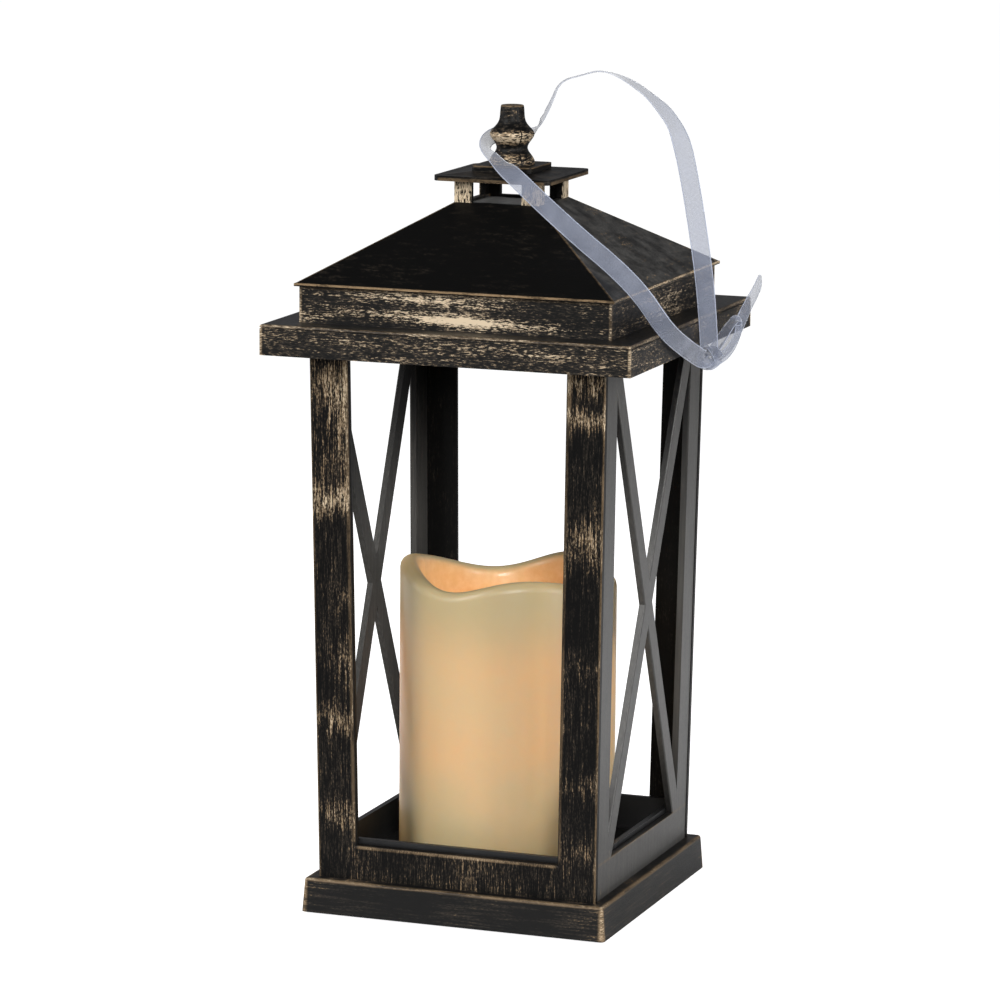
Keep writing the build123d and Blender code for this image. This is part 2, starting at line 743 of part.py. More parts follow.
def make_roof_skirt():
    """Square wall under the eaves, with a screw boss webbed into each corner."""
    inner = skirt_width - 2 * SKIRT_WALL
    skirt = square(skirt_width, cornice_high, skirt_high) - square(inner, cornice_high, skirt_high)
    boss_z = (cornice_high, cornice_high + SKIRT_BOSS_HEIGHT)
    for x, y in corners(roof_screw_place):
        wall_x = math.copysign((inner + SKIRT_WALL) / 2, x)
        wall_y = math.copysign((inner + SKIRT_WALL) / 2, y)
        skirt += rod(SKIRT_BOSS, *boss_z, x, y)
        skirt += block(sorted((x, wall_x)), span(y, SKIRT_WEB), boss_z)
        skirt += block(span(x, SKIRT_WEB), sorted((y, wall_y)), boss_z)
        skirt -= pilot_for(SCREW_SHANK, *boss_z, x, y)
    return skirt


def make_roof_screws():
    low = frame_high - SCREW_HEAD_HEIGHT
    return [screw(roof_screw_length, low, x, y) for x, y in corners(roof_screw_place)]


def make_roof():
    """Hollow hipped roof with a thin eave lip and a square seat for the vent plate."""
    slope = (roof_foot - ROOF_TOP) / ROOF_RISE
    hollow_high = roof_high - ROOF_CROWN
    inner_low = roof_foot + slope * EAVE_HEIGHT - 2 * ROOF_SHELL
    inner_high = ROOF_TOP + slope * ROOF_CROWN - 2 * ROOF_SHELL
    roof = square(eave_width, skirt_high, eave_high) + frustum(roof_foot, ROOF_TOP, eave_high, roof_high)
    roof -= frustum(inner_low, inner_high, skirt_high, hollow_high)
    seat = vent_width + 2 * VENT_GAP
    roof -= square(seat, vent_low, roof_high)
    return roof - square(vent_width - 2 * VENT_LEDGE, hollow_high, vent_low)


def make_vent_plate():
    return square(vent_width, vent_low, vent_high)


def make_cupola():
    """Four angle posts under a thin square ring."""
    inner = ROOF_TOP - 2 * CUPOLA_WALL
    cupola = square(ROOF_TOP, roof_high, cupola_high) - square(inner, roof_high, cupola_high)
    gap = ROOF_TOP - 2 * CUPOLA_LEG
    window = (roof_high, cupola_high - CUPOLA_RING)
    cupola -= block(span(0, gap), span(0, ROOF_TOP), window)
    return cupola - block(span(0, ROOF_TOP), span(0, gap), window)


def make_cap_plate():
    """Square cap with rounded corners and a very shallow camber."""
    cap = square(cap_width, cupola_high, cap_high, CAP_CORNER)
    cap += frustum(cap_width - 2 * (CAP_CORNER + CAP_BORDER), FINIAL_BASE, cap_high, camber_high)
    return cap - hole_for(SCREW_SHANK, cupola_high, camber_high)


def make_finial_base():
    base = square(FINIAL_BASE, camber_high, finial_low, FINIAL_BASE_CORNER)
    return base - hole_for(SCREW_SHANK, camber_high, finial_low)


def make_finial():
    """Turned finial: a flare, a waist, a bulge and a tapering neck."""
    points = [(radius, finial_low + height) for radius, height in FINIAL_OUTLINE]
    curve = Spline(*points)
    tip = Line(points[-1], (0, points[-1][1]))
    axis = Line((0, points[-1][1]), (0, finial_low))
    foot = Line((0, finial_low), points[0])
    finial = revolve(Plane.XZ * make_face([curve, tip, axis, foot]), Axis.Z)
    finial = fillet(edges_at(finial, points[-1][1]), FINIAL_TOP_EDGE)
    screw_top = cupola_high + finial_screw_length
    return finial - pilot_for(SCREW_SHANK, finial_low, screw_top)


def make_finial_screw():
    return screw(finial_screw_length, cupola_high - SCREW_HEAD_HEIGHT)


# Ribbon

def bend_radii(route):
    """Radius at each inner corner: 0.45 of the shorter run over the tangent of half the turn."""
    radii = []
    for before, corner, after in zip(route, route[1:], route[2:]):
        arriving = Vector(*corner) - Vector(*before)
        leaving = Vector(*after) - Vector(*corner)
        half_turn = math.radians(arriving.get_angle(leaving)) / 2
        radii.append(0.45 * min(arriving.length, leaving.length) / math.tan(half_turn))
    return radii


def tube_along(route, diameter):
    """Round tube of straight runs and tangent arcs along a route."""
    radii = bend_radii(route)
    path = FilletPolyline(*route, radius=radii)
    section = Plane(origin=path @ 0, z_dir=path % 0) * Circle(diameter / 2)
    tube = sweep(section, path=path)
    expected = math.pi * diameter ** 2 / 4 * path.length
    print("tube length", round(path.length, 1), "volume", round(tube.volume, 1), "of", round(expected, 1))
    print("bend radii", [round(radius, 1) for radius in radii])
    return tube


def make_ribbon():
    return tube_along(RIBBON_ROUTE, RIBBON_TUBE)


def make_ribbon_tails():
    return [tube_along(LONG_TAIL_ROUTE, TAIL_TUBE), tube_along(SHORT_TAIL_ROUTE, TAIL_TUBE)]


def make_ribbon_knot():
    """Small rounded bundle that the band and its tails pass into."""
    knot = Pos(*KNOT_CENTRE) * Box(*KNOT_SIZE)
    return fillet(knot.edges(), min(KNOT_SIZE) / 3)


PIECES = {
    "plinth": make_plinth(),
    "base_cover": make_base_cover(),
    "rubber_feet": make_rubber_feet(),
    "base_screws": make_base_screws(),
    "floor_tray": make_floor_tray(),
    "battery_box": make_battery_box(),
    "battery_door": make_battery_door(),
    "batteries": make_batteries(),
    "contact_springs": make_contact_springs(),
    "contact_plates": make_contact_plates(),
    "circuit_board": make_circuit_board(),
    "switch_body": make_switch_body(),
    "switch_knob": make_switch_knob(),
    "wires": make_wires(),
    "candle_base_ring": make_candle_base_ring(),
    "candle_screws": make_candle_screws(),
    "candle_shell": make_candle_shell(),
    "led_holder": make_led_holder(),
    "led_bulb": make_led_bulb(),
    "front_frame": make_frame(),
    "back_frame": turned(make_frame(), 2),
    "right_panel": turned(make_panel(), 1),
    "left_panel": turned(make_panel(), -1),
    "right_cross": turned(make_cross(), 1),
    "left_cross": turned(make_cross(), -1),
    "cornice": make_cornice(),
    "roof_skirt": make_roof_skirt(),
    "roof_screws": make_roof_screws(),
    "roof": make_roof(),
    "vent_plate": make_vent_plate(),
    "cupola": make_cupola(),
    "cap_plate": make_cap_plate(),
    "finial_base": make_finial_base(),
    "finial": make_finial(),
    "finial_screw": make_finial_screw(),
    "ribbon": make_ribbon(),
    "ribbon_knot": make_ribbon_knot(),
    "ribbon_tails": make_ribbon_tails(),
}

for name, piece in PIECES.items():
    solids = piece if isinstance(piece, list) else piece.solids()
    shape = Compound(children=solids) if len(solids) > 1 else solids[0]
    shape.label = name
    export_step(shape, f"parts/{name}.step")
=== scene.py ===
import math

import bmesh
import bpy
from mathutils import Matrix, Vector


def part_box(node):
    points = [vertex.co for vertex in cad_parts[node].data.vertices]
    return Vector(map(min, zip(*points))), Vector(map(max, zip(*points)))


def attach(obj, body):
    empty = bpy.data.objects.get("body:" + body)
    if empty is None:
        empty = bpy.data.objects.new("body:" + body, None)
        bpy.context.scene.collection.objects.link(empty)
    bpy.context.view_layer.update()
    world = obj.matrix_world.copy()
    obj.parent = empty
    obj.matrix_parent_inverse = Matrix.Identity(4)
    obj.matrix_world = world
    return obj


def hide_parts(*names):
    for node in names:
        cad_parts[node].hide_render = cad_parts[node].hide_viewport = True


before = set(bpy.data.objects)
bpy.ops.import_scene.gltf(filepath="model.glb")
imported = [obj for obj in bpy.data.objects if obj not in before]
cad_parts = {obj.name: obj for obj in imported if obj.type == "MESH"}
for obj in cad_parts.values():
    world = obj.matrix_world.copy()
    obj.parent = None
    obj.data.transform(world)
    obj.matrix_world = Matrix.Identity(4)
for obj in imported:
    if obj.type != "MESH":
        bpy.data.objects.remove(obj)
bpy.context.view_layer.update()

# Plinth: the hollow square step that the whole lantern stands on. Black injection-moulded plastic,
# sprayed satin charcoal, then dry-brushed by hand with antique gold that catches on edges.

MM = 1000.0


class Mask:
    """One shader socket that arithmetic can be done on."""

    def __init__(self, tree, socket=None):
        self.tree = tree
        self.socket = socket

    def node(self, kind, settings=(), sockets=(), output=0):
        """Adds a node: its settings first, then the values or links of its sockets."""
        made = self.tree.nodes.new("ShaderNode" + kind)
        for name, value in dict(settings).items():
            setattr(made, name, value)
        for name, value in dict(sockets).items():
            if isinstance(value, Mask):
                self.tree.links.new(value.socket, made.inputs[name])
            else:
                made.inputs[name].default_value = value
        return Mask(self.tree, made.outputs[output])

    def math(self, operation, *values):
        return self.node("Math", {"operation": operation}, enumerate(values))

    def __add__(self, other):
        return self.math("ADD", self, other)

    __radd__ = __add__

    def __sub__(self, other):
        return self.math("SUBTRACT", self, other)

    def __rsub__(self, other):
        return self.math("SUBTRACT", other, self)

    def __mul__(self, other):
        return self.math("MULTIPLY", self, other)

    __rmul__ = __mul__

    def __truediv__(self, other):
        return self.math("DIVIDE", self, other)

    def __abs__(self):
        return self.math("ABSOLUTE", self)

    def ramp(self, low, high):
        """0 below low, 1 above high and smooth between; low may be the larger."""
        settings = {"interpolation_type": "SMOOTHSTEP", "clamp": True}
        turned = low > high
        limits = {"Value": self, "From Min": min(low, high), "From Max": max(low, high)}
        eased = self.node("MapRange", settings, limits)
        return 1.0 - eased if turned else eased

    def most(self, other):
        return self.math("MAXIMUM", self, other)

    def least(self, other):
        return self.math("MINIMUM", self, other)

    def blend(self, low, high):
        """Colour between two others, by this mask."""
        kinds = {"data_type": "RGBA", "clamp_factor": True}
        return self.node("Mix", kinds, {0: self, 6: low, 7: high}, 2)

    def stretched(self, x, y, z):
        return self.node("VectorMath", {"operation": "MULTIPLY"}, {0: self, 1: (x, y, z)})

    def noise(self, scale, detail=2.0, roughness=0.5, distortion=0.0):
        sockets = {"Vector": self, "Scale": scale, "Detail": detail}
        sockets |= {"Roughness": roughness, "Distortion": distortion}
        return self.node("TexNoise", {}, sockets)

    def axes(self):
        """The three parts of a vector."""
        split = self.node("SeparateXYZ", {}, {0: self}).socket.node
        return [Mask(self.tree, output) for output in split.outputs]


class Finish:
    """A material with one Principled shader, and places on the piece in millimetres."""

    def __init__(self, name, **fixed):
        self.material = bpy.data.materials.new(name)
        self.material.use_nodes = True
        tree = self.material.node_tree
        self.shader = tree.nodes["Principled BSDF"]
        self.start = Mask(tree)
        place = self.start.node("TexCoord", output=3)
        self.place = place.node("VectorMath", {"operation": "SCALE"}, {0: place, 3: MM})
        self.x, self.y, self.z = self.place.axes()
        self.set(**fixed)

    def outwards(self):
        """How far out a point of a square piece is, towards its nearest side."""
        return abs(self.x).most(abs(self.y))

    def cornerwards(self):
        """How far a point of a square piece is along its nearest side, towards an upright corner."""
        return abs(self.x).least(abs(self.y))

    def set(self, **values):
        """Puts numbers on the shader's own sockets, and links masks to them."""
        for name, value in values.items():
            socket = self.shader.inputs[name.replace("_", " ").title().replace("Ior", "IOR")]
            if isinstance(value, Mask):
                self.start.tree.links.new(value.socket, socket)
            else:
                socket.default_value = value

    def bump(self, height, strength, distance):
        """Raises the surface where height is larger; the distance is in millimetres."""
        sockets = {"Height": height, "Strength": strength, "Distance": distance / MM}
        self.set(normal=self.start.node("Bump", {}, sockets))

    def on(self, *pieces):
        for piece in pieces:
            mesh = (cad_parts[piece] if isinstance(piece, str) else piece).data
            mesh.materials.clear()
            mesh.materials.append(self.material)


BLACK = (0.0028, 0.0027, 0.0026, 1.0)
UMBER = (0.042, 0.034, 0.026, 1.0)
# Grey laid over the plastic: a satin coat, and on the side panels' inner faces a painted reflection
SATIN_GREY_AND_REFLECTION = (0.125, 0.121, 0.113, 1.0)
OLD_GOLD = (0.25, 0.17, 0.095, 1.0)
PALE_GOLD = (0.74, 0.60, 0.42, 1.0)


def rubbed_plastic(name, along, stroke, cover, patch, line, umber=1.0, pale=0.5, veil=None,
                   gloss=0.11):
    """Black plastic with a thin umber glaze and dry-brushed gold. along is each axis's share of a
    stroke, and stroke its length and width. cover is how much gold there is everywhere, patch adds
    more in places, line is a worn edge, and veil is where grey is laid over the plastic: a thin satin
    grey coat, and on the side panels' inner faces a painted reflection. gloss is how strongly the bare
    plastic shines."""
    finish = Finish(name, specular_ior_level=gloss)
    length, width = stroke
    pitch = [share / length + (1.0 - share) / width for share in along]
    streaks = finish.place.stretched(*pitch).noise(1.0, 3.0, 0.6, 0.3).ramp(0.33, 0.67)
    dashes = finish.place.stretched(*[0.5 * share + 1.7 * (1.0 - share) for share in along])
    grit = dashes.noise(1.7, 2.0, 0.65).ramp(0.3, 0.7)
    drifts = finish.place.stretched(*[1.0 - 0.5 * share for share in along])
    cloud = drifts.noise(0.06, 3.0, 0.6).ramp(0.3, 0.7)
    field = streaks * 0.46 + grit * 0.32 + cloud * 0.22
    spread = patch(finish) + cover
    gold = (field + spread * 0.45).ramp(0.84, 1.06) * 0.92
    scuffs = (streaks * 0.35 + grit * 0.25 + cloud * 0.4).ramp(0.26, 0.62)
    worn = line(finish)
    gold = gold.most(worn * (0.25 + 0.75 * scuffs))
    glaze = (field + spread * 0.3).ramp(0.50, 0.96) * umber
    richness = grit * 0.45 + cloud * 0.25 + spread * 0.5 + worn * 0.3
    tone = richness.ramp(0.95 - 0.5 * pale, 1.5 - 0.5 * pale)
    under = glaze.blend(BLACK, UMBER)
    if veil:
        under = (veil(finish) * (0.72 + 0.28 * streaks)).blend(under, SATIN_GREY_AND_REFLECTION)
    finish.set(base_color=(gold * 0.92).blend(under, tone.blend(OLD_GOLD, PALE_GOLD)))
    finish.set(metallic=gold * 0.35, roughness=0.40 + 0.14 * gold + 0.08 * grit)
    finish.bump(streaks * 0.45 + grit * 0.35 + gold * 0.6, 0.20, 0.10)
    return finish


LEVEL = (1.0, 1.0, 0.0)
UPRIGHT = (0.0, 0.0, 1.0)


def plinth_patch(finish):
    """A little more gold near the upright corners and on the top step."""
    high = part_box("plinth")[1] * MM
    corner = finish.cornerwards().ramp(high.x - 14.0, high.x - 1.0) * 0.30
    return corner + finish.z.ramp(high.z - 0.6, high.z - 0.1) * 0.22


def plinth_line(finish):
    """The worn top arris and the upright corners."""
    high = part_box("plinth")[1] * MM
    step = finish.outwards().ramp(high.x - 2.4, high.x - 1.4)
    arris = finish.z.ramp(high.z - 1.3, high.z - 0.5) * step * 0.55
    return (finish.cornerwards().ramp(high.x - 2.6, high.x - 1.2) * 0.9).most(arris)


plinth_finish = rubbed_plastic("plinth_plastic", LEVEL, (15.0, 0.6), -0.04, plinth_patch,
                               plinth_line, 0.55, gloss=0.26)
plinth_finish.on("plinth")


# Rubber feet and base cover: four soft discs glued under a plain black plate, which is let into the
# plinth and held by four zinc-plated cross-head screws.

def plain_plastic(name, colour, roughness=0.5, grain=2.2):
    """Moulded plastic with fine spark-eroded texture and faint flow marks."""
    finish = Finish(name, specular_ior_level=0.45)
    texture = finish.place.noise(grain, 3.0, 0.6)
    flow = finish.place.noise(0.06, 2.0, 0.5)
    lighter = tuple(min(1.0, c * 1.5 + 0.006) for c in colour)
    cast = (flow * 0.7 + texture * 0.3).ramp(0.3, 0.75)
    finish.set(base_color=cast.blend((*colour, 1.0), (*lighter, 1.0)))
    finish.set(roughness=roughness - 0.08 + 0.16 * texture)
    finish.bump(texture, 0.25, 0.06)
    return finish


def plated_metal(name, colour, roughness=0.3):
    """Plated steel with fine drawing lines and slightly dull patches."""
    finish = Finish(name, metallic=1.0)
    lines = finish.place.stretched(0.4, 0.4, 5.0).noise(2.0, 2.0, 0.6)
    dull = finish.place.noise(0.35, 2.0, 0.5)
    darker = tuple(c * 0.7 for c in colour)
    drawn = (lines * 0.5 + dull * 0.5).ramp(0.3, 0.7)
    finish.set(base_color=drawn.blend((*darker, 1.0), (*colour, 1.0)))
    finish.set(roughness=roughness + 0.2 * dull)
    finish.bump(lines, 0.15, 0.02)
    return finish


rubber = Finish("foot_rubber", specular_ior_level=0.3)
pores = rubber.place.noise(1.3, 4.0, 0.7)
RUBBER_DARK = (0.012, 0.012, 0.012, 1.0)
RUBBER_LIGHT = (0.03, 0.03, 0.031, 1.0)
rubber.set(base_color=pores.ramp(0.3, 0.7).blend(RUBBER_DARK, RUBBER_LIGHT))
rubber.set(roughness=0.72 + 0.2 * pores)
rubber.bump(pores, 0.4, 0.08)
rubber.on("rubber_feet")

COVER_BLACK = (0.014, 0.014, 0.015)
DOOR_BLACK = (0.02, 0.02, 0.021)
plain_plastic("cover_plastic", COVER_BLACK, 0.55).on("base_cover", "battery_box", "switch_body")
plain_plastic("door_plastic", DOOR_BLACK).on("battery_door")
screw_zinc = plated_metal("screw_zinc", (0.56, 0.56, 0.57))
screw_zinc.on("base_screws", "candle_screws", "roof_screws", "finial_screw")


# Door grip: five low ribs for a thumb, moulded proud of the battery door's underside, opposite its
# hinge. They travel with the door.

GRIP_RIBS = 5
RIB_SIZE = (0.0006, 0.009, 0.0003)
RIB_PITCH = 0.0016
RIB_SINK = 0.00005
GRIP_SETBACK = 0.0155


def bars(mesh, size, spots):
    """Adds a block of one size at each spot."""
    for spot in spots:
        bar = bmesh.ops.create_cube(mesh, size=1.0)["verts"]
        bmesh.ops.scale(mesh, vec=size, verts=bar)
        bmesh.ops.translate(mesh, vec=spot, verts=bar)


def softened(mesh, offset):
    """Bevels every edge of the mesh."""
    bmesh.ops.bevel(mesh, geom=mesh.edges[:], offset=offset, affect="EDGES", segments=2,
                    profile=0.5, material=-1)


def finished(name, mesh):
    """Makes an object of a mesh that has been worked on."""
    data = bpy.data.meshes.new(name)
    mesh.to_mesh(data)
    mesh.free()
    made = bpy.data.objects.new(name, data)
    bpy.context.collection.objects.link(made)
    return made


door_low, door_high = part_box("battery_door")
grip_start = door_high.x - GRIP_SETBACK
grip = bmesh.new()
rib_z = door_low.z - RIB_SINK
bars(grip, RIB_SIZE, [(grip_start + rib * RIB_PITCH, 0.0, rib_z) for rib in range(GRIP_RIBS)])
softened(grip, 0.0001)
door_grip = finished("door_grip", grip)
plain_plastic("grip_plastic", DOOR_BLACK).on(door_grip)
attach(door_grip, "battery_door")


# Cells, springs and contacts: two alkaline cells in plain two-tone sleeves lie nose to tail between
# nickel-plated plates. The springs are wound from steel wire, wide at the plate.

cells = Finish("cell_sleeve", specular_ior_level=0.5)
tail_band = abs(cells.x + 8.0 * cells.y.ramp(-0.5, 0.5)).ramp(13.0, 13.6)
scratches = cells.place.stretched(0.1, 1.5, 1.5).noise(1.0, 2.0, 0.6)
cells.set(base_color=tail_band.blend((0.03, 0.032, 0.036, 1.0), (0.62, 0.42, 0.2, 1.0)))
cells.set(metallic=0.35 + 0.4 * tail_band, roughness=0.28 + 0.18 * scratches)
cells.bump(scratches, 0.1, 0.02)
cells.on("batteries")
plated_metal("contact_nickel", (0.66, 0.63, 0.58), 0.22).on("contact_plates")

spring_low, spring_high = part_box("contact_springs")
SPRING_TURNS = 4
TURN_STEPS = 24
WIRE_RADIUS = 0.00032
WIRE_SIDES = 8
SPRING_DEPTH = 0.0052
SPRING_WIDE = 0.0036
SPRING_NARROW = 0.0022
SPRING_HALF_BOX = 0.004
cell_axis_y = (spring_high.y - spring_low.y) / 2 - SPRING_HALF_BOX
spring_z = (spring_low.z + spring_high.z) / 2


def coil(mesh, face_x, axis_y, inwards):
    """Winds one conical spring from a ring of wire that is extruded step by step."""
    ring = bmesh.ops.create_circle(mesh, cap_ends=False, radius=WIRE_RADIUS, segments=WIRE_SIDES)["verts"]
    edges = list({edge for vert in ring for edge in vert.link_edges})
    steps = SPRING_TURNS * TURN_STEPS
    for step in range(steps + 1):
        share = step / steps
        angle = 2.0 * math.pi * SPRING_TURNS * share
        radius = SPRING_WIDE + (SPRING_NARROW - SPRING_WIDE) * share
        centre = Vector((
            face_x + inwards * (WIRE_RADIUS + (SPRING_DEPTH - 2 * WIRE_RADIUS) * share),
            axis_y + radius * math.cos(angle),
            spring_z + radius * math.sin(angle),
        ))
        outward = Vector((0.0, math.cos(angle), math.sin(angle)))
        sideways = Vector((inwards, 0.0, 0.0))
        if step:
            grown = bmesh.ops.extrude_edge_only(mesh, edges=edges)["geom"]
            ring = [item for item in grown if isinstance(item, bmesh.types.BMVert)]
            edges = [item for item in grown if isinstance(item, bmesh.types.BMEdge)]
            mesh.verts.index_update()
        for place, vert in enumerate(sorted(ring, key=lambda v: v.index)):
            turn = 2.0 * math.pi * place / WIRE_SIDES
            vert.co = centre + WIRE_RADIUS * (outward * math.cos(turn) + sideways * math.sin(turn))


springs_mesh = bmesh.new()
coil(springs_mesh, spring_low.x, -cell_axis_y, 1.0)
coil(springs_mesh, spring_high.x, cell_axis_y, -1.0)
bmesh.ops.holes_fill(springs_mesh, edges=springs_mesh.edges[:])
bmesh.ops.recalc_face_normals(springs_mesh, faces=springs_mesh.faces[:])
coil_springs = finished("coil_springs", springs_mesh)
plated_metal("spring_steel", (0.6, 0.58, 0.54), 0.2).on(coil_springs)
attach(coil_springs, "lantern_body")
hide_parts("contact_springs")


# Circuit board: green laminate with a timer chip, a resistor and a crystal can soldered on top, and
# two wires from the slide switch landing at its edge. The knob is a white slider under the cover.

board = Finish("board_laminate", specular_ior_level=0.5)
track_layout = {"Vector": board.place.stretched(0.12, 0.12, 0.0), "Scale": 1.0}
track_layout |= {"Mortar Size": 0.035, "Mortar Smooth": 0.1}
traces = board.start.node("TexBrick", {"offset": 0.5}, track_layout, 1)
glass_weave = board.place.noise(1.1, 2.0, 0.5)
board.set(base_color=traces.blend((0.012, 0.085, 0.035, 1.0), (0.05, 0.2, 0.09, 1.0)))
board.set(roughness=0.26 + 0.12 * glass_weave)
board.bump(traces, 0.2, 0.04)
board.on("circuit_board")

BOARD_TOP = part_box("circuit_board")[1].z
CHIP_SIZE = (0.0050, 0.0039, 0.0015)
CHIP_PLACE = (-0.012, -0.004)
RESISTOR_SIZE = (0.0032, 0.0016, 0.0006)
CRYSTAL_SIZE = (0.0020, 0.0012, 0.0009)
PIN_SIZE = (0.0004, 0.0011, 0.0002)
PIN_PITCH = 0.00127
PIN_ROW = 0.0025
on_board = bmesh.new()
for size, place in (
    (CHIP_SIZE, CHIP_PLACE),
    (RESISTOR_SIZE, (0.010, -0.007)),
    (RESISTOR_SIZE, (0.010, -0.003)),
    (CRYSTAL_SIZE, (-0.004, 0.009)),
):
    bars(on_board, size, [(*place, BOARD_TOP + size[2] / 2)])
softened(on_board, 0.00015)
for side in (-1, 1):
    row = CHIP_PLACE[1] + side * PIN_ROW
    pins = [CHIP_PLACE[0] + (leg - 1.5) * PIN_PITCH for leg in range(4)]
    bars(on_board, PIN_SIZE, [(pin, row, BOARD_TOP + PIN_SIZE[2] / 2) for pin in pins])
board_parts = finished("board_parts", on_board)
plain_plastic("chip_resin", (0.018, 0.018, 0.02), 0.35, 3.0).on(board_parts)
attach(board_parts, "lantern_body")

plain_plastic("knob_plastic", (0.62, 0.61, 0.58), 0.4).on("switch_knob", "led_holder")
wires = Finish("wire_sleeve", specular_ior_level=0.4)
red_side = wires.x.ramp(-0.3, 0.3)
wires.set(base_color=red_side.blend((0.012, 0.012, 0.012, 1.0), (0.42, 0.02, 0.015, 1.0)))
wires.set(roughness=0.4 + 0.15 * wires.place.noise(1.5))
wires.on("wires")


# Floor tray: a dark tray screwed down inside the foot of the body. Its low wall shows as a black
# strip behind the rails. Satin moulded plastic, with no gold on it.

plain_plastic("tray_plastic", (0.006, 0.006, 0.0065), 0.42).on("floor_tray")
plain_plastic("ring_plastic", (0.7, 0.62, 0.44), 0.5).on("candle_base_ring")


# Candle: a hollow paraffin shell cast round a plastic ring, with a soft rim that rises and falls as
# if it had melted, and a shallow cup lit from below by the lamp. Cream, more orange near the light;
# the lamp's light on the wax is painted into its colour and emission.

shell_low, shell_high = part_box("candle_shell")
CANDLE_RADIUS = (shell_high.x - shell_low.x) / 2
RIM_ROUND = 0.0034
CUP_RADIUS = 0.0315
CUP_FLOOR_Z = 0.0969
CUP_FILLET = 0.004
WAVES_START_Z = 0.1
BORE_RADIUS = CANDLE_RADIUS - 0.0026
BORE_TOP_Z = 0.0919
RIM_LEVEL = shell_high.z - RIM_ROUND
# How far the rim rises and falls: waves per turn, height in metres, and where each crest is
RIM_WAVES = [(1, 0.0014, -110.0), (2, 0.0013, 41.0), (3, 0.0029, -158.0), (5, 0.0007, 0.0)]


def rim_rise(angle):
    return sum(height * math.cos(waves * angle - math.radians(crest)) for waves, height, crest in RIM_WAVES)


candle = bmesh.new()
rim_middle = (CANDLE_RADIUS + CUP_RADIUS) / 2
outline = [(0.0, BORE_TOP_Z), (BORE_RADIUS - 0.002, BORE_TOP_Z)]
outline += [(BORE_RADIUS - 0.0004, BORE_TOP_Z - 0.0005), (BORE_RADIUS, BORE_TOP_Z - 0.002)]
outline += [(BORE_RADIUS, shell_low.z), (CANDLE_RADIUS - 0.0006, shell_low.z)]
outline += [(CANDLE_RADIUS, shell_low.z + 0.0006)]
outline += [(CANDLE_RADIUS, shell_low.z + 0.012 * step) for step in range(1, 8)]
for step in range(9):
    turn = math.pi * step / 8
    half_wall = CANDLE_RADIUS - rim_middle
    outline.append((rim_middle + half_wall * math.cos(turn), RIM_LEVEL + RIM_ROUND * math.sin(turn)))
outline += [(CUP_RADIUS - 0.0003, RIM_LEVEL - 0.004), (CUP_RADIUS - 0.0006, RIM_LEVEL - 0.009)]
for step in range(5):
    turn = math.pi / 2 * step / 4
    across, down = CUP_FILLET * math.cos(turn), CUP_FILLET * math.sin(turn)
    outline.append((CUP_RADIUS - 0.0006 - CUP_FILLET + across, CUP_FLOOR_Z + CUP_FILLET - down))
outline += [(0.018, CUP_FLOOR_Z - 0.0004), (0.008, CUP_FLOOR_Z - 0.0007), (0.0, CUP_FLOOR_Z - 0.0008)]
profile = [candle.verts.new((radius, 0.0, height)) for radius, height in outline]
for first, second in zip(profile, profile[1:]):
    candle.edges.new((first, second))
bmesh.ops.spin(candle, geom=candle.verts[:] + candle.edges[:], axis=(0, 0, 1), cent=(0, 0, 0),
               angle=2 * math.pi, steps=144, use_merge=True)
bmesh.ops.remove_doubles(candle, verts=candle.verts[:], dist=1e-6)
bmesh.ops.recalc_face_normals(candle, faces=candle.faces[:])
for vert in candle.verts:
    radius = math.hypot(vert.co.x, vert.co.y)
    near_rim = max(0.0, min(1.0, (vert.co.z - WAVES_START_Z) / (RIM_LEVEL - WAVES_START_Z)))
    share = near_rim * near_rim * (3.0 - 2.0 * near_rim)
    if radius > CUP_RADIUS - 0.002:
        vert.co.z += rim_rise(math.atan2(vert.co.y, vert.co.x)) * share
for face in candle.faces:
    face.smooth = True
wax_candle = finished("wax_candle", candle)

wax = Finish("candle_wax", subsurface_weight=0.35, subsurface_radius=(0.9, 0.5, 0.25),
             subsurface_scale=0.004, coat_roughness=0.16, ior=1.44)
cloud = wax.place.noise(0.035, 3.0, 0.5)
mottle = wax.place.noise(0.35, 3.0, 0.6)
around = wax.place.math("ARCTAN2", wax.y, wax.x)
height = (wax.z - shell_low.z * MM) / (RIM_LEVEL * MM - shell_low.z * MM)
CREAM_GREEN = (0.43, 0.34, 0.185, 1.0)
CREAM = (0.56, 0.40, 0.215, 1.0)
PEACH = (0.64, 0.345, 0.155, 1.0)
CUP_AMBER = (0.74, 0.39, 0.15, 1.0)
CUP_HONEY = (0.84, 0.52, 0.25, 1.0)
UNLIT = (0.0, 0.0, 0.0, 1.0)
LAMPLIGHT = (1.0, 0.54, 0.20, 1.0)
warm = (height + cloud * 0.3 - 0.15).ramp(0.02, 0.55) * (height + cloud * 0.2 - 0.1).ramp(1.0, 0.72)
upper = warm.blend(CREAM_GREEN, CREAM)
# painted lamplight: cloudy orange bands in the middle of the candle, where the lamp's glow is painted into
# the wax's colour and emission
painted_glow_band = warm * (cloud * 0.8 + mottle * 0.3).ramp(0.25, 0.9)
# painted light: two bands at set angles round the candle's side are made brighter and more orange, in
# colour and in glow, where the wax looks lit from the side
painted_side_light = (abs(around + 0.55).ramp(0.9, 0.15) * 0.5).most(abs(around + 2.8).ramp(0.55, 0.2) * 1.4)
body_tone = (painted_glow_band * 0.55 + painted_side_light * warm * 0.6).blend(upper, PEACH)
from_axis = wax.place.math("SQRT", wax.x * wax.x + wax.y * wax.y)
in_cup = from_axis.ramp(CUP_RADIUS * MM + 1.6, CUP_RADIUS * MM - 0.6)
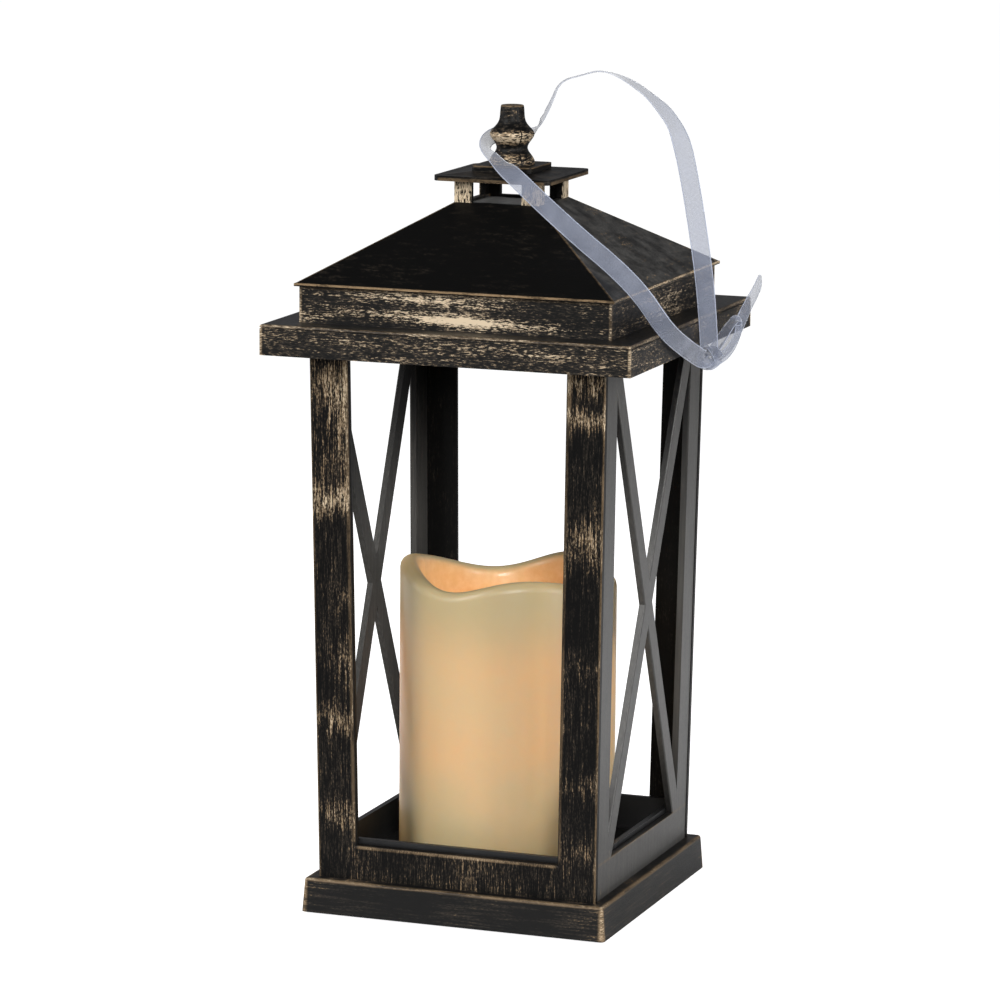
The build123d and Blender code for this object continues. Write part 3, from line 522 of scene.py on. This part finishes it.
# painted lamplight: the cup's amber and honey stand for the lamp's light coming up through the wax below it
cup_tone = (mottle * 0.5 + cloud * 0.5).ramp(0.3, 0.7).blend(CUP_AMBER, CUP_HONEY)
wax.set(base_color=in_cup.blend(body_tone, cup_tone))
# The wax's emission is painted lamplight: strongest in the cup, weaker in the bands and the painted side
# light
glow = in_cup * 0.45 + painted_glow_band * 0.2 + painted_side_light * 0.4
wax.set(emission_color=glow.blend(UNLIT, LAMPLIGHT), emission_strength=0.14)
wax.set(roughness=0.34 + 0.14 * mottle, coat_weight=0.06 + 0.3 * in_cup)
wax.bump(cloud * 0.7 + mottle * 0.3, 0.25, 0.5)
wax.on(wax_candle)
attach(wax_candle, "lantern_body")
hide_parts("candle_shell")

lamp = Finish("lamp_resin", ior=1.5, emission_strength=0.6)
lamp_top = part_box("led_bulb")[1].z * MM
lamp_core = lamp.z.ramp(lamp_top - 9.0, lamp_top)
lamp.set(base_color=lamp_core.blend((0.5, 0.5, 0.5, 1.0), (0.95, 0.6, 0.25, 1.0)))
lamp.set(emission_color=lamp_core.blend(UNLIT, (1.0, 0.5, 0.15, 1.0)), roughness=0.15)
lamp.on("led_bulb")


# Front and back frames: two flat plastic frames as wide as the body, glued to the side panels. The
# gold runs with the posts in fine broken streaks, and gathers in ragged bands where the brush dwelt.

FRAME_LOW, FRAME_HIGH = [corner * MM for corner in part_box("front_frame")]
POST = 14.2
RAIL_TOP = FRAME_LOW.z + 12.5
BODY_FOOT_HALF = 50.87


def body_edge(finish):
    """The body's half width at each height."""
    growth = (FRAME_HIGH.x - BODY_FOOT_HALF) / (FRAME_HIGH.z - FRAME_LOW.z)
    return BODY_FOOT_HALF + growth * (finish.z - FRAME_LOW.z)


def on_outside(finish, across, inset=0.0):
    """The outer skin of the leaning body, on the faces that this axis crosses."""
    return (body_edge(finish) - inset - abs(across)).ramp(0.7, 0.2)


def bands(finish, heights):
    """Ragged bands, each with its height, half its depth and its weight."""
    ragged = finish.place.stretched(0.45, 0.45, 0.05).noise(1.0, 3.0, 0.65) * 26.0 - 13.0
    total = 0.0
    for middle, spread, weight in heights:
        total = abs(finish.z + ragged - middle).ramp(spread, 0.0) * weight + total
    return total


LEFT_BANDS = [(184.0, 24.0, 0.72), (163.0, 14.0, 0.4), (147.0, 10.0, 0.85), (112.0, 12.0, 0.28),
              (88.0, 16.0, 0.3), (69.0, 8.0, 0.6), (36.0, 9.0, 0.62)]
RIGHT_BANDS = [(193.0, 7.0, 0.75), (180.0, 7.0, 0.85), (138.0, 11.0, 0.55), (128.0, 7.0, 0.35),
               (92.0, 12.0, 0.25), (54.0, 9.0, 0.55), (30.0, 8.0, 0.35)]


def frame_patch(finish):
    """Bands up each post, and level marks along the bottom rail."""
    left = bands(finish, LEFT_BANDS)
    right = bands(finish, RIGHT_BANDS)
    side = finish.x.ramp(-2.0, 2.0)
    brushed = finish.place.stretched(0.9, 0.9, 0.035).noise(1.0, 2.0, 0.6).ramp(0.5, 0.72) * 0.3
    on_post = abs(finish.x).ramp(35.0, 38.0)
    rail = (finish.z - RAIL_TOP).ramp(0.0, -1.0) * (1.0 - on_post) * 0.25
    outside = on_outside(finish, finish.y)
    post = side * (right - left) + (left + brushed)
    return (post * on_post + rail + 0.4) * outside - 0.4


def frame_line(finish):
    """Worn outer arrises, the inner ones near the head, and the rail's top edge."""
    edge = body_edge(finish)
    outer = (edge - abs(finish.x)).ramp(0.9, 0.2) * 0.5
    into_post = abs(finish.x) - edge + POST
    inner = abs(1.0 - into_post).ramp(1.6, 0.5) * finish.z.ramp(172.0, 194.0) * 0.9
    lower = abs(0.8 - into_post).ramp(0.9, 0.2) * finish.z.ramp(RAIL_TOP, RAIL_TOP + 3.0) * 0.3
    rail = abs(finish.z - RAIL_TOP + 0.9).ramp(0.8, 0.2) * into_post.ramp(0.5, -1.5) * 0.55
    return outer.most(inner).most(lower).most(rail) * on_outside(finish, finish.y)


frame_finish = rubbed_plastic("frame_plastic", UPRIGHT, (9.0, 0.34), 0.03, frame_patch, frame_line, 0.7)
frame_finish.on("front_frame", "back_frame")


# Side panels and braces: a flat panel on each side with a crossed brace moulded across its opening.
# Little gold reaches them: a few scuffs where the braces meet and faint upright streaks.

def panel_patch(finish):
    """Gold at the panel's foot and head, and where the braces cross and land."""
    junction = abs(finish.z - 107.0).ramp(20.0, 2.0) * abs(finish.y).ramp(7.0, 2.0)
    landing = abs(finish.y).ramp(26.0, 37.0) * (finish.z.ramp(44.0, 25.0) + finish.z.ramp(166.0, 194.0))
    scuffs = finish.place.stretched(0.3, 0.3, 0.1).noise(1.0, 3.0, 0.65).ramp(0.5, 0.72)
    return (junction + landing) * scuffs * on_outside(finish, finish.x, 0.25)


def panel_line(finish):
    """Faint wear on the foot rail's top edge."""
    return abs(finish.z - RAIL_TOP).ramp(0.7, 0.2) * 0.4 * on_outside(finish, finish.x, 0.25)


def panel_coat_and_painted_reflection(finish):
    """Full on the outside, where it is a thin satin grey coat, and on the inside only from the middle
    down, where it is a painted reflection of the lit floor in the glossy inner faces.
    """
    outside = on_outside(finish, finish.x, 0.25)
    # painted reflection: the glossy inner faces are greyed around the middle height, where they would
    # mirror the lit floor
    inside = (1.0 - outside) * abs(finish.z - 95.0).ramp(85.0, 25.0)
    return outside * 0.36 + inside * 0.42


# The right panel and brace are glossier than the left ones
for hand, shine in (("left", 0.06), ("right", 0.5)):
    panel_finish = rubbed_plastic(hand + "_panel_plastic", UPRIGHT, (22.0, 0.9), -0.25, panel_patch,
                                  panel_line, 0.5, veil=panel_coat_and_painted_reflection, gloss=shine)
    panel_finish.on(hand + "_panel", hand + "_cross")


# Cornice: the widest band, over the body's head. It was brushed along its length, so the gold lies
# in fine level dashes, with a brighter line along the top arris and at the upright corners.

def level_band(node, lift, bright):
    """Two masks for a level band: more gold along rows and in bright patches, and its worn edges."""
    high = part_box(node)[1] * MM

    def patch(finish):
        rows = finish.place.stretched(0.03, 0.03, 0.9).noise(1.0, 2.0, 0.6).ramp(0.32, 0.68)
        outside = finish.outwards().ramp(high.x - 1.2, high.x - 0.4)
        total = rows * lift
        for x, z, width, tall, weight in bright:
            spot = abs(finish.x - x).ramp(width, 0.0) * abs(finish.z - z).ramp(tall, 0.0)
            total = spot * weight + total
        return total * outside - (1.0 - outside) * 0.5

    def line(finish):
        outer = finish.outwards().ramp(high.x - 0.9, high.x - 0.4)
        corner = finish.cornerwards().ramp(high.x - 1.2, high.x - 0.5) * 0.7
        arris = finish.z.ramp(high.z - 1.1, high.z - 0.5) * 0.38
        return corner.most(arris) * outer

    return patch, line


# Bright patches: across, height, half width, half height and weight
CORNICE_PATCHES = [(-25.0, 204.5, 50.0, 3.0, 0.35), (30.0, 203.5, 34.0, 3.0, 0.35)]
cornice_masks = level_band("cornice", 0.42, CORNICE_PATCHES)
cornice_finish = rubbed_plastic("cornice_plastic", LEVEL, (2.2, 0.36), 0.19, *cornice_masks,
                                pale=0.8, gloss=0.28)
cornice_finish.on("cornice")


# Roof skirt: the upright wall under the eaves, screwed to the cornice from below. Brushed level like
# the cornice, with the heaviest gold along its foot, a little left of the middle.

SKIRT_PATCHES = [(4.0, 211.2, 42.0, 2.8, 1.15), (-32.0, 213.0, 30.0, 3.0, 0.6),
                 (-8.0, 217.5, 48.0, 2.6, 0.4)]
skirt_masks = level_band("roof_skirt", 0.45, SKIRT_PATCHES)
skirt_finish = rubbed_plastic("skirt_plastic", LEVEL, (2.4, 0.36), 0.23, *skirt_masks,
                              pale=0.9, gloss=0.26)
skirt_finish.on("roof_skirt")


# Roof and vent plate: a low hipped roof moulded in one piece with a thin eave lip, nearly bare black
# but for the eave's arris, and a flat grey plate let into its crown.

def on_side_slope(finish):
    return (abs(finish.x) - abs(finish.y)).ramp(-0.5, 0.5)


def roof_patch(finish):
    """Next to nothing on the front and back, and a thin mottle on the two side slopes."""
    flecks = finish.place.noise(0.3, 3.0, 0.7).ramp(0.62, 0.75) * 0.35
    return on_side_slope(finish) * 0.62 + flecks


def roof_line(finish):
    """A bright line round the eave and a fainter one down each hip."""
    low, high = [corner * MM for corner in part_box("roof")]
    outer = finish.outwards()
    eave = outer.ramp(high.x - 0.6, high.x - 0.25) * abs(finish.z - low.z - 0.75).ramp(0.5, 0.25)
    return (eave * 1.2).most((outer - finish.cornerwards()).ramp(0.8, 0.25) * 0.4)


def roof_veil(finish):
    """The grey mottle on the side slopes."""
    blotches = finish.place.noise(0.14, 4.0, 0.65).ramp(0.3, 0.72)
    return on_side_slope(finish) * (blotches * 0.5 + 0.06)


roof_finish = rubbed_plastic("roof_plastic", LEVEL, (7.0, 0.8), -0.42, roof_patch, roof_line, 0.45,
                             pale=0.7, veil=roof_veil)
roof_finish.on("roof")
plate = Finish("vent_plate", metallic=0.3)
haze = plate.place.noise(0.5, 2.0, 0.5)
PLATE_GREY = (0.30, 0.30, 0.295, 1.0)
PLATE_LIGHT = (0.42, 0.42, 0.41, 1.0)
plate.set(base_color=haze.ramp(0.3, 0.7).blend(PLATE_GREY, PLATE_LIGHT))
plate.set(roughness=0.42 + 0.15 * haze)
plate.bump(haze, 0.1, 0.05)
plate.on("vent_plate")


# Cupola: four angle posts under a thin ring, open on all sides to let warm air out. Their outer faces
# took the most gold of all, and their inner faces none.

def cupola_patch(finish):
    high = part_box("cupola")[1] * MM
    return finish.outwards().ramp(high.x - 0.5, high.x - 0.2) * 1.25 - 0.35


def cupola_line(finish):
    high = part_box("cupola")[1] * MM
    return finish.cornerwards().ramp(high.x - 1.0, high.x - 0.3) * 0.9


cupola_finish = rubbed_plastic("cupola_plastic", UPRIGHT, (2.6, 0.7), 0.2, cupola_patch, cupola_line,
                               pale=0.9)
cupola_finish.on("cupola")


# Cap and finial block: a thin square cap with rounded corners and a smaller rounded block on it.
# Smooth satin charcoal with gold only on the arrises.

def cap_patch(finish):
    return finish.place.noise(0.12, 2.0, 0.6).ramp(0.45, 0.7) * 0.3


def cap_line(finish):
    """Arrises of the cap and of the block on it."""
    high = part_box("cap_plate")[1] * MM
    block_low, block_high = [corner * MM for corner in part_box("finial_base")]
    outer = finish.outwards()
    rim = outer.ramp(high.x - 0.3, high.x) * abs(finish.z - block_low.z + 0.9).ramp(0.4, 0.9) * 0.4
    lip = abs(outer - block_high.x).ramp(0.6, 0.1) * abs(finish.z - block_high.z).ramp(0.6, 0.1) * 0.6
    return rim.most(lip)


cap_finish = rubbed_plastic("cap_plastic", LEVEL, (9.0, 1.2), -0.22, cap_patch, cap_line, 0.8)
cap_finish.on("cap_plate", "finial_base")


# Finial: turned shape moulded in two halves, so a fine seam runs up it. Gold on the bulge and flare,
# where a brush touches first, and dark in the waist and under the tip.

def finial_patch(finish):
    """Gold on the bulge, the flare and the tip's rim, less in the seam between the halves."""
    low, high = [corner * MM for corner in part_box("finial")]
    bulge = abs(finish.z - low.z - 9.6).ramp(3.6, 0.6) * 1.15
    flare = finish.z.ramp(low.z + 4.8, low.z + 2.0) * 0.85
    tip = abs(finish.z - high.z + 2.5).ramp(3.0, 0.5) * 0.35
    seam = abs(finish.x + finish.y).ramp(0.4, 0.1) * (finish.x - finish.y).ramp(0.0, 1.0)
    return bulge + flare + tip - seam * 1.5


def finial_line(finish):
    return abs(finish.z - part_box("finial")[1].z * MM + 0.2).ramp(0.4, 0.1) * 0.6


finial_finish = rubbed_plastic("finial_plastic", LEVEL, (2.4, 0.6), 0.0, finial_patch, finial_line,
                               pale=0.6)
finial_finish.on("finial")


# Ribbon: a quarter-inch band of sheer white organza, looped round the finial, tied in an overhand knot
# and left with two loose ends. The weave is open, and the woven edges are a little denser.

RIBBON_WIDTH = 0.0064
RIBBON_ROUTE = [
    (0.0012, 0.0094, 0.2694),
    (-0.0052, 0.0088, 0.2690),
    (-0.0096, 0.0040, 0.2678),
    (-0.0084, -0.0050, 0.2650),
    (-0.0012, -0.0134, 0.2614),
    (0.0083, -0.0230, 0.2582),
    (0.0183, -0.0265, 0.2510),
    (0.0355, -0.0306, 0.2387),
    (0.0510, -0.0378, 0.2301),
    (0.0627, -0.0438, 0.2221),
    (0.0695, -0.0392, 0.2100),
    (0.0703, -0.0214, 0.2021),
    (0.0706, -0.0080, 0.1972),
    (0.0706, 0.0010, 0.1942),
    (0.0706, 0.0062, 0.1964),
    (0.0700, 0.0062, 0.2050),
    (0.0690, 0.0052, 0.2200),
    (0.0664, 0.0046, 0.2380),
    (0.0632, 0.0043, 0.2560),
    (0.0602, 0.0041, 0.2690),
    (0.0560, 0.0038, 0.2772),
    (0.0480, 0.0033, 0.2848),
    (0.0390, 0.0028, 0.2902),
    (0.0312, 0.0023, 0.2922),
    (0.0250, 0.0019, 0.2904),
    (0.0170, 0.0012, 0.2880),
    (0.0140, 0.0011, 0.2806),
    (0.0108, 0.0024, 0.2754),
    (0.0078, 0.0062, 0.2726),
    (0.0050, 0.0100, 0.2700),
    (0.0010, 0.0112, 0.2692),
]
# The way the band faces, and how far it is turned about its own length at shares of that length
FACING = Vector((0.34, -0.92, 0.18))
RIBBON_TURNS = [(0.0, -20.0), (0.05, -48.0), (0.10, -48.0), (0.15, -6.0), (0.28, 0.0), (0.36, 10.0),
                (0.44, 4.0), (0.52, 12.0), (0.60, 4.0), (0.74, 6.0), (0.78, 40.0), (0.82, 64.0),
                (0.87, 82.0), (0.92, 82.0), (0.96, 75.0), (1.0, 72.0)]


def smooth_line(name, route):
    """The points along an open NURBS spline with the route as its control points."""
    data = bpy.data.curves.new(name, "CURVE")
    data.dimensions = "3D"
    data.resolution_u = 14
    spline = data.splines.new("NURBS")
    spline.points.add(len(route) - 1)
    for point, place in zip(spline.points, route):
        point.co = (*place, 1.0)
    spline.order_u = 3
    spline.use_endpoint_u = True
    holder = bpy.data.objects.new(name, data)
    bpy.context.collection.objects.link(holder)
    bpy.context.view_layer.update()
    traced = bpy.data.meshes.new_from_object(holder)
    points = [vert.co.copy() for vert in traced.vertices]
    bpy.data.objects.remove(holder)
    return points


def between(stops, share):
    """Value at a share of the way, from a list of (share, value)."""
    for (low, first), (high, second) in zip(stops, stops[1:]):
        if share <= high:
            part = (share - low) / (high - low)
            return first + (second - first) * part * part * (3.0 - 2.0 * part)
    return stops[-1][1]


def place_in_row(vert, last):
    """Which thread of the last row a new point grew from."""
    return next(index for index, old in enumerate(last)
                if any(edge.other_vert(vert) is old for edge in vert.link_edges))


def band_mesh(name, points, turns, width, facing=FACING, ripple=0.0):
    """Flat band along a line: one row of threads across, extruded from point to point."""
    across = 8
    lengths = [0.0]
    for first, second in zip(points, points[1:]):
        lengths.append(lengths[-1] + (second - first).length)
    total = lengths[-1]
    mesh = bmesh.new()
    uv = mesh.loops.layers.uv.new("weave")
    row = [mesh.verts.new((0, 0, 0)) for _ in range(across + 1)]
    edges = [mesh.edges.new(pair) for pair in zip(row, row[1:])]
    where = {}
    for step, point in enumerate(points):
        before, after = points[max(step - 1, 0)], points[min(step + 1, len(points) - 1)]
        along = (after - before).normalized()
        side = along.cross(facing).normalized()
        share = lengths[step] / total
        side = Matrix.Rotation(math.radians(between(turns, share)), 3, along) @ side
        face = side.cross(along).normalized()
        if step:
            grown = bmesh.ops.extrude_edge_only(mesh, edges=edges)["geom"]
            edges = [item for item in grown if isinstance(item, bmesh.types.BMEdge)]
            row = [item for item in grown if isinstance(item, bmesh.types.BMVert)]
            row.sort(key=lambda vert: place_in_row(vert, last))
        half = width(share) / 2 if callable(width) else width / 2
        for index, vert in enumerate(row):
            place = index / across * 2.0 - 1.0
            curl = ripple * math.sin(9.0 * share + 2.4 * place) + 0.05 * half * place * place
            vert.co = point + side * (half * place) + face * curl
            where[vert] = (index / across, lengths[step])
        last = row
    for corner_face in mesh.faces:
        corner_face.smooth = True
        for loop in corner_face.loops:
            loop[uv].uv = where[loop.vert]
    bmesh.ops.recalc_face_normals(mesh, faces=mesh.faces[:])
    piece = finished(name, mesh)
    thick = piece.modifiers.new("cloth_thickness", "SOLIDIFY")
    thick.thickness = 0.00016
    thick.offset = 0.0
    return piece


organza = Finish("ribbon_organza", sheen_weight=0.5, sheen_roughness=0.4, specular_ior_level=0.35)
weave_u, weave_v, _ = organza.start.node("UVMap", {"uv_map": "weave"}).axes()
WEFT_PITCH = 0.42
WARP_THREADS = 16.0
LAVENDER = (0.15, 0.17, 0.23, 1.0)
PALE_LAVENDER = (0.42, 0.455, 0.56, 1.0)
weft = weave_v.math("SINE", weave_v * (2.0 * math.pi * MM / WEFT_PITCH)).ramp(-0.4, 0.8)
warp = weave_u.math("SINE", weave_u * (2.0 * math.pi * WARP_THREADS)).ramp(-0.4, 0.8)
selvedge = abs(weave_u - 0.5).ramp(0.435, 0.47)
threads = weft.most(warp)
slack = organza.place.noise(0.11, 2.0, 0.5)
organza.set(base_color=(selvedge * 0.6 + slack * 0.5).blend(LAVENDER, PALE_LAVENDER))
organza.set(alpha=0.25 + 0.14 * threads + 0.16 * slack + 0.35 * selvedge)
organza.set(roughness=0.45 + 0.15 * threads)
organza.bump(threads, 0.12, 0.04)

ribbon_points = smooth_line("ribbon_line", RIBBON_ROUTE)
ribbon = band_mesh("ribbon_band", ribbon_points, RIBBON_TURNS, RIBBON_WIDTH)
organza.on(ribbon)
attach(ribbon, "lantern_body")
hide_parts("ribbon")


# Knot and loose ends: the band crossed over itself and pulled tight, so the knot is a small bundle
# of creased folds. One end is long and runs up to a rounded tip; the other folds back in a loop.

KNOT_CENTRE = Vector((0.0708, 0.0048, 0.1948))
KNOT_RADIUS = 0.0021
KNOT_STEPS = 14
KNOT_BAND = 0.0036
KNOT_TURNS = [(0.0, 0.0), (0.5, 80.0), (1.0, 10.0)]
KNOT_FACING = Vector((0.3, -1.0, 0.4))
knot_route = []
for step in range(KNOT_STEPS + 1):
    turn = 2.0 * math.pi * step / KNOT_STEPS
    swell = KNOT_RADIUS * (1.25 + 0.45 * math.cos(3 * turn))
    sway = 0.9 * KNOT_RADIUS * math.sin(3 * turn)
    offset = Vector((swell * math.cos(2 * turn), sway, 1.15 * swell * math.sin(2 * turn)))
    knot_route.append(tuple(KNOT_CENTRE + offset))
knot_points = smooth_line("knot_line", knot_route)
knot = band_mesh("ribbon_knot_folds", knot_points, KNOT_TURNS, KNOT_BAND, KNOT_FACING, 0.0002)

LONG_END = [
    (0.0712, 0.0062, 0.1945),
    (0.0724, 0.0148, 0.1954),
    (0.0730, 0.0254, 0.1989),
    (0.0730, 0.0344, 0.2041),
    (0.0728, 0.0429, 0.2083),
    (0.0724, 0.0534, 0.2122),
    (0.0720, 0.0612, 0.2158),
]
SHORT_END = [
    (0.0712, 0.0066, 0.1930),
    (0.0728, 0.0120, 0.1936),
    (0.0742, 0.0190, 0.1960),
    (0.0748, 0.0258, 0.2008),
    (0.0744, 0.0272, 0.2056),
    (0.0734, 0.0220, 0.2046),
    (0.0722, 0.0150, 0.2004),
    (0.0712, 0.0080, 0.1962),
]
LONG_END_TURNS = [(0.0, 40.0), (0.4, 48.0), (1.0, 60.0)]
SHORT_END_TURNS = [(0.0, 40.0), (0.5, 60.0), (1.0, 40.0)]
LONG_END_BAND = 0.0060
SHORT_END_BAND = 0.0048


def tip_width(full):
    """Width that draws in to a rounded tip over the last few millimetres."""
    def width(share):
        left = max(0.0, 1.0 - share)
        return full * (0.35 + 0.65 * min(1.0, share * 8.0)) * min(1.0, math.sqrt(left * 14.0) + 0.06)
    return width


long_end = band_mesh("ribbon_long_end", smooth_line("long_line", LONG_END), LONG_END_TURNS,
                     tip_width(LONG_END_BAND))
short_end = band_mesh("ribbon_short_end", smooth_line("short_line", SHORT_END), SHORT_END_TURNS,
                      SHORT_END_BAND)
for piece in (knot, long_end, short_end):
    organza.on(piece)
    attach(piece, "lantern_body")
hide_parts("ribbon_knot")
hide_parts("ribbon_tails")
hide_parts("ribbon_tails")


# Studio: a wide white floor under soft boxes, and white all round where the camera looks. What the
# lantern itself reflects is darker in front than behind, as in a room with a lit sweep.

SHADE = (0.10, 0.10, 0.10, 1.0)
LIT_PAPER = (0.78, 0.78, 0.78, 1.0)
SWEEP_GLOW = (0.75, 0.75, 0.76, 1.0)
UNDER_GLOW = (0.6, 0.6, 0.6, 1.0)
WHITE = (1.0, 1.0, 1.0, 1.0)
OFF_WHITE = (0.86, 0.86, 0.86, 1.0)
floor_mesh = bmesh.new()
bmesh.ops.create_grid(floor_mesh, x_segments=1, y_segments=1, size=6.0)
floor = finished("floor", floor_mesh)
paper = Finish("floor_paper", specular_ior_level=0.1, emission_strength=1.0)
seen = paper.start.node("LightPath", output=0)
# The paper is clear from below, so that the lantern's underside can be looked at
below = paper.start.node("NewGeometry", output=6)
paper.set(alpha=1.0 - below)
lit = abs(paper.y - 300.0).ramp(900.0, 250.0)
paper.set(base_color=lit.blend(SHADE, LIT_PAPER))
bounced = (paper.y.ramp(0.0, 250.0) * paper.y.ramp(1000.0, 550.0)).blend(UNLIT, SWEEP_GLOW)
bounced = paper.outwards().ramp(46.0, 38.0).blend(bounced, UNDER_GLOW)
near_white = abs(paper.y).ramp(600.0, 200.0).blend(WHITE, OFF_WHITE)
paper.set(emission_color=seen.blend(bounced, near_white))
paper.set(roughness=0.8 + 0.1 * paper.place.noise(0.02))
paper.on(floor)

world = bpy.data.worlds.new("studio")
world.use_nodes = True
bpy.context.scene.world = world
sky = Mask(world.node_tree)
ROOM_DARK = (0.035, 0.035, 0.036, 1.0)
ROOM_LIT = (0.30, 0.30, 0.31, 1.0)
_, way_y, way_z = sky.node("TexCoord", output=0).axes()
room = (way_y.ramp(0.1, 0.8) * way_z.ramp(0.75, 0.2)).blend(ROOM_DARK, ROOM_LIT)
shown = sky.node("LightPath", output=0).blend(room, WHITE)
background = world.node_tree.nodes["Background"]
world.node_tree.links.new(shown.socket, background.inputs["Color"])
background.inputs["Strength"].default_value = 1.0


def soft_box(name, place, target, size, watts):
    """Area light that points at a spot."""
    data = bpy.data.lights.new(name, "AREA")
    data.shape = "RECTANGLE"
    data.size, data.size_y = size
    data.energy = watts
    light = bpy.data.objects.new(name, data)
    light.location = place
    light.rotation_euler = (Vector(target) - Vector(place)).to_track_quat("-Z", "Y").to_euler()
    bpy.context.collection.objects.link(light)


middle = (0.0, 0.0, 0.14)
soft_box("key_box", (-1.15, -1.4, 1.25), middle, (0.7, 0.9), 31.0)
soft_box("fill_box", (0.75, -1.75, 0.85), middle, (0.7, 0.7), 29.0)
soft_box("left_box", (-1.5, -0.35, 0.5), middle, (0.3, 1.0), 5.0)
soft_box("right_box", (1.5, -0.45, 0.55), middle, (0.6, 1.0), 17.0)

CAMERA_PLACE = Vector((0.57067, -1.56398, 0.44119))
CAMERA_TURN = math.radians(20.158)
CAMERA_RISE = math.radians(10.225)
CAMERA_ROLL = math.radians(0.437)
camera_data = bpy.data.cameras.new("camera")
camera_data.lens = 174.09
camera_data.sensor_width = 36.0
camera_data.clip_start = 0.1
camera = bpy.data.objects.new("camera", camera_data)
bpy.context.collection.objects.link(camera)
level_back = Vector((math.sin(CAMERA_TURN), -math.cos(CAMERA_TURN), 0.0))
back = level_back * math.cos(CAMERA_RISE) + Vector((0.0, 0.0, math.sin(CAMERA_RISE)))
right = Vector((math.cos(CAMERA_TURN), math.sin(CAMERA_TURN), 0.0))
up = back.cross(right)
level_x = right * math.cos(CAMERA_ROLL) + up * math.sin(CAMERA_ROLL)
level_y = up * math.cos(CAMERA_ROLL) - right * math.sin(CAMERA_ROLL)
camera_axes = Matrix((level_x, level_y, back)).transposed().to_4x4()
camera.matrix_world = Matrix.Translation(CAMERA_PLACE) @ camera_axes
bpy.context.scene.camera = camera
bpy.context.scene.view_settings.view_transform = "Standard"
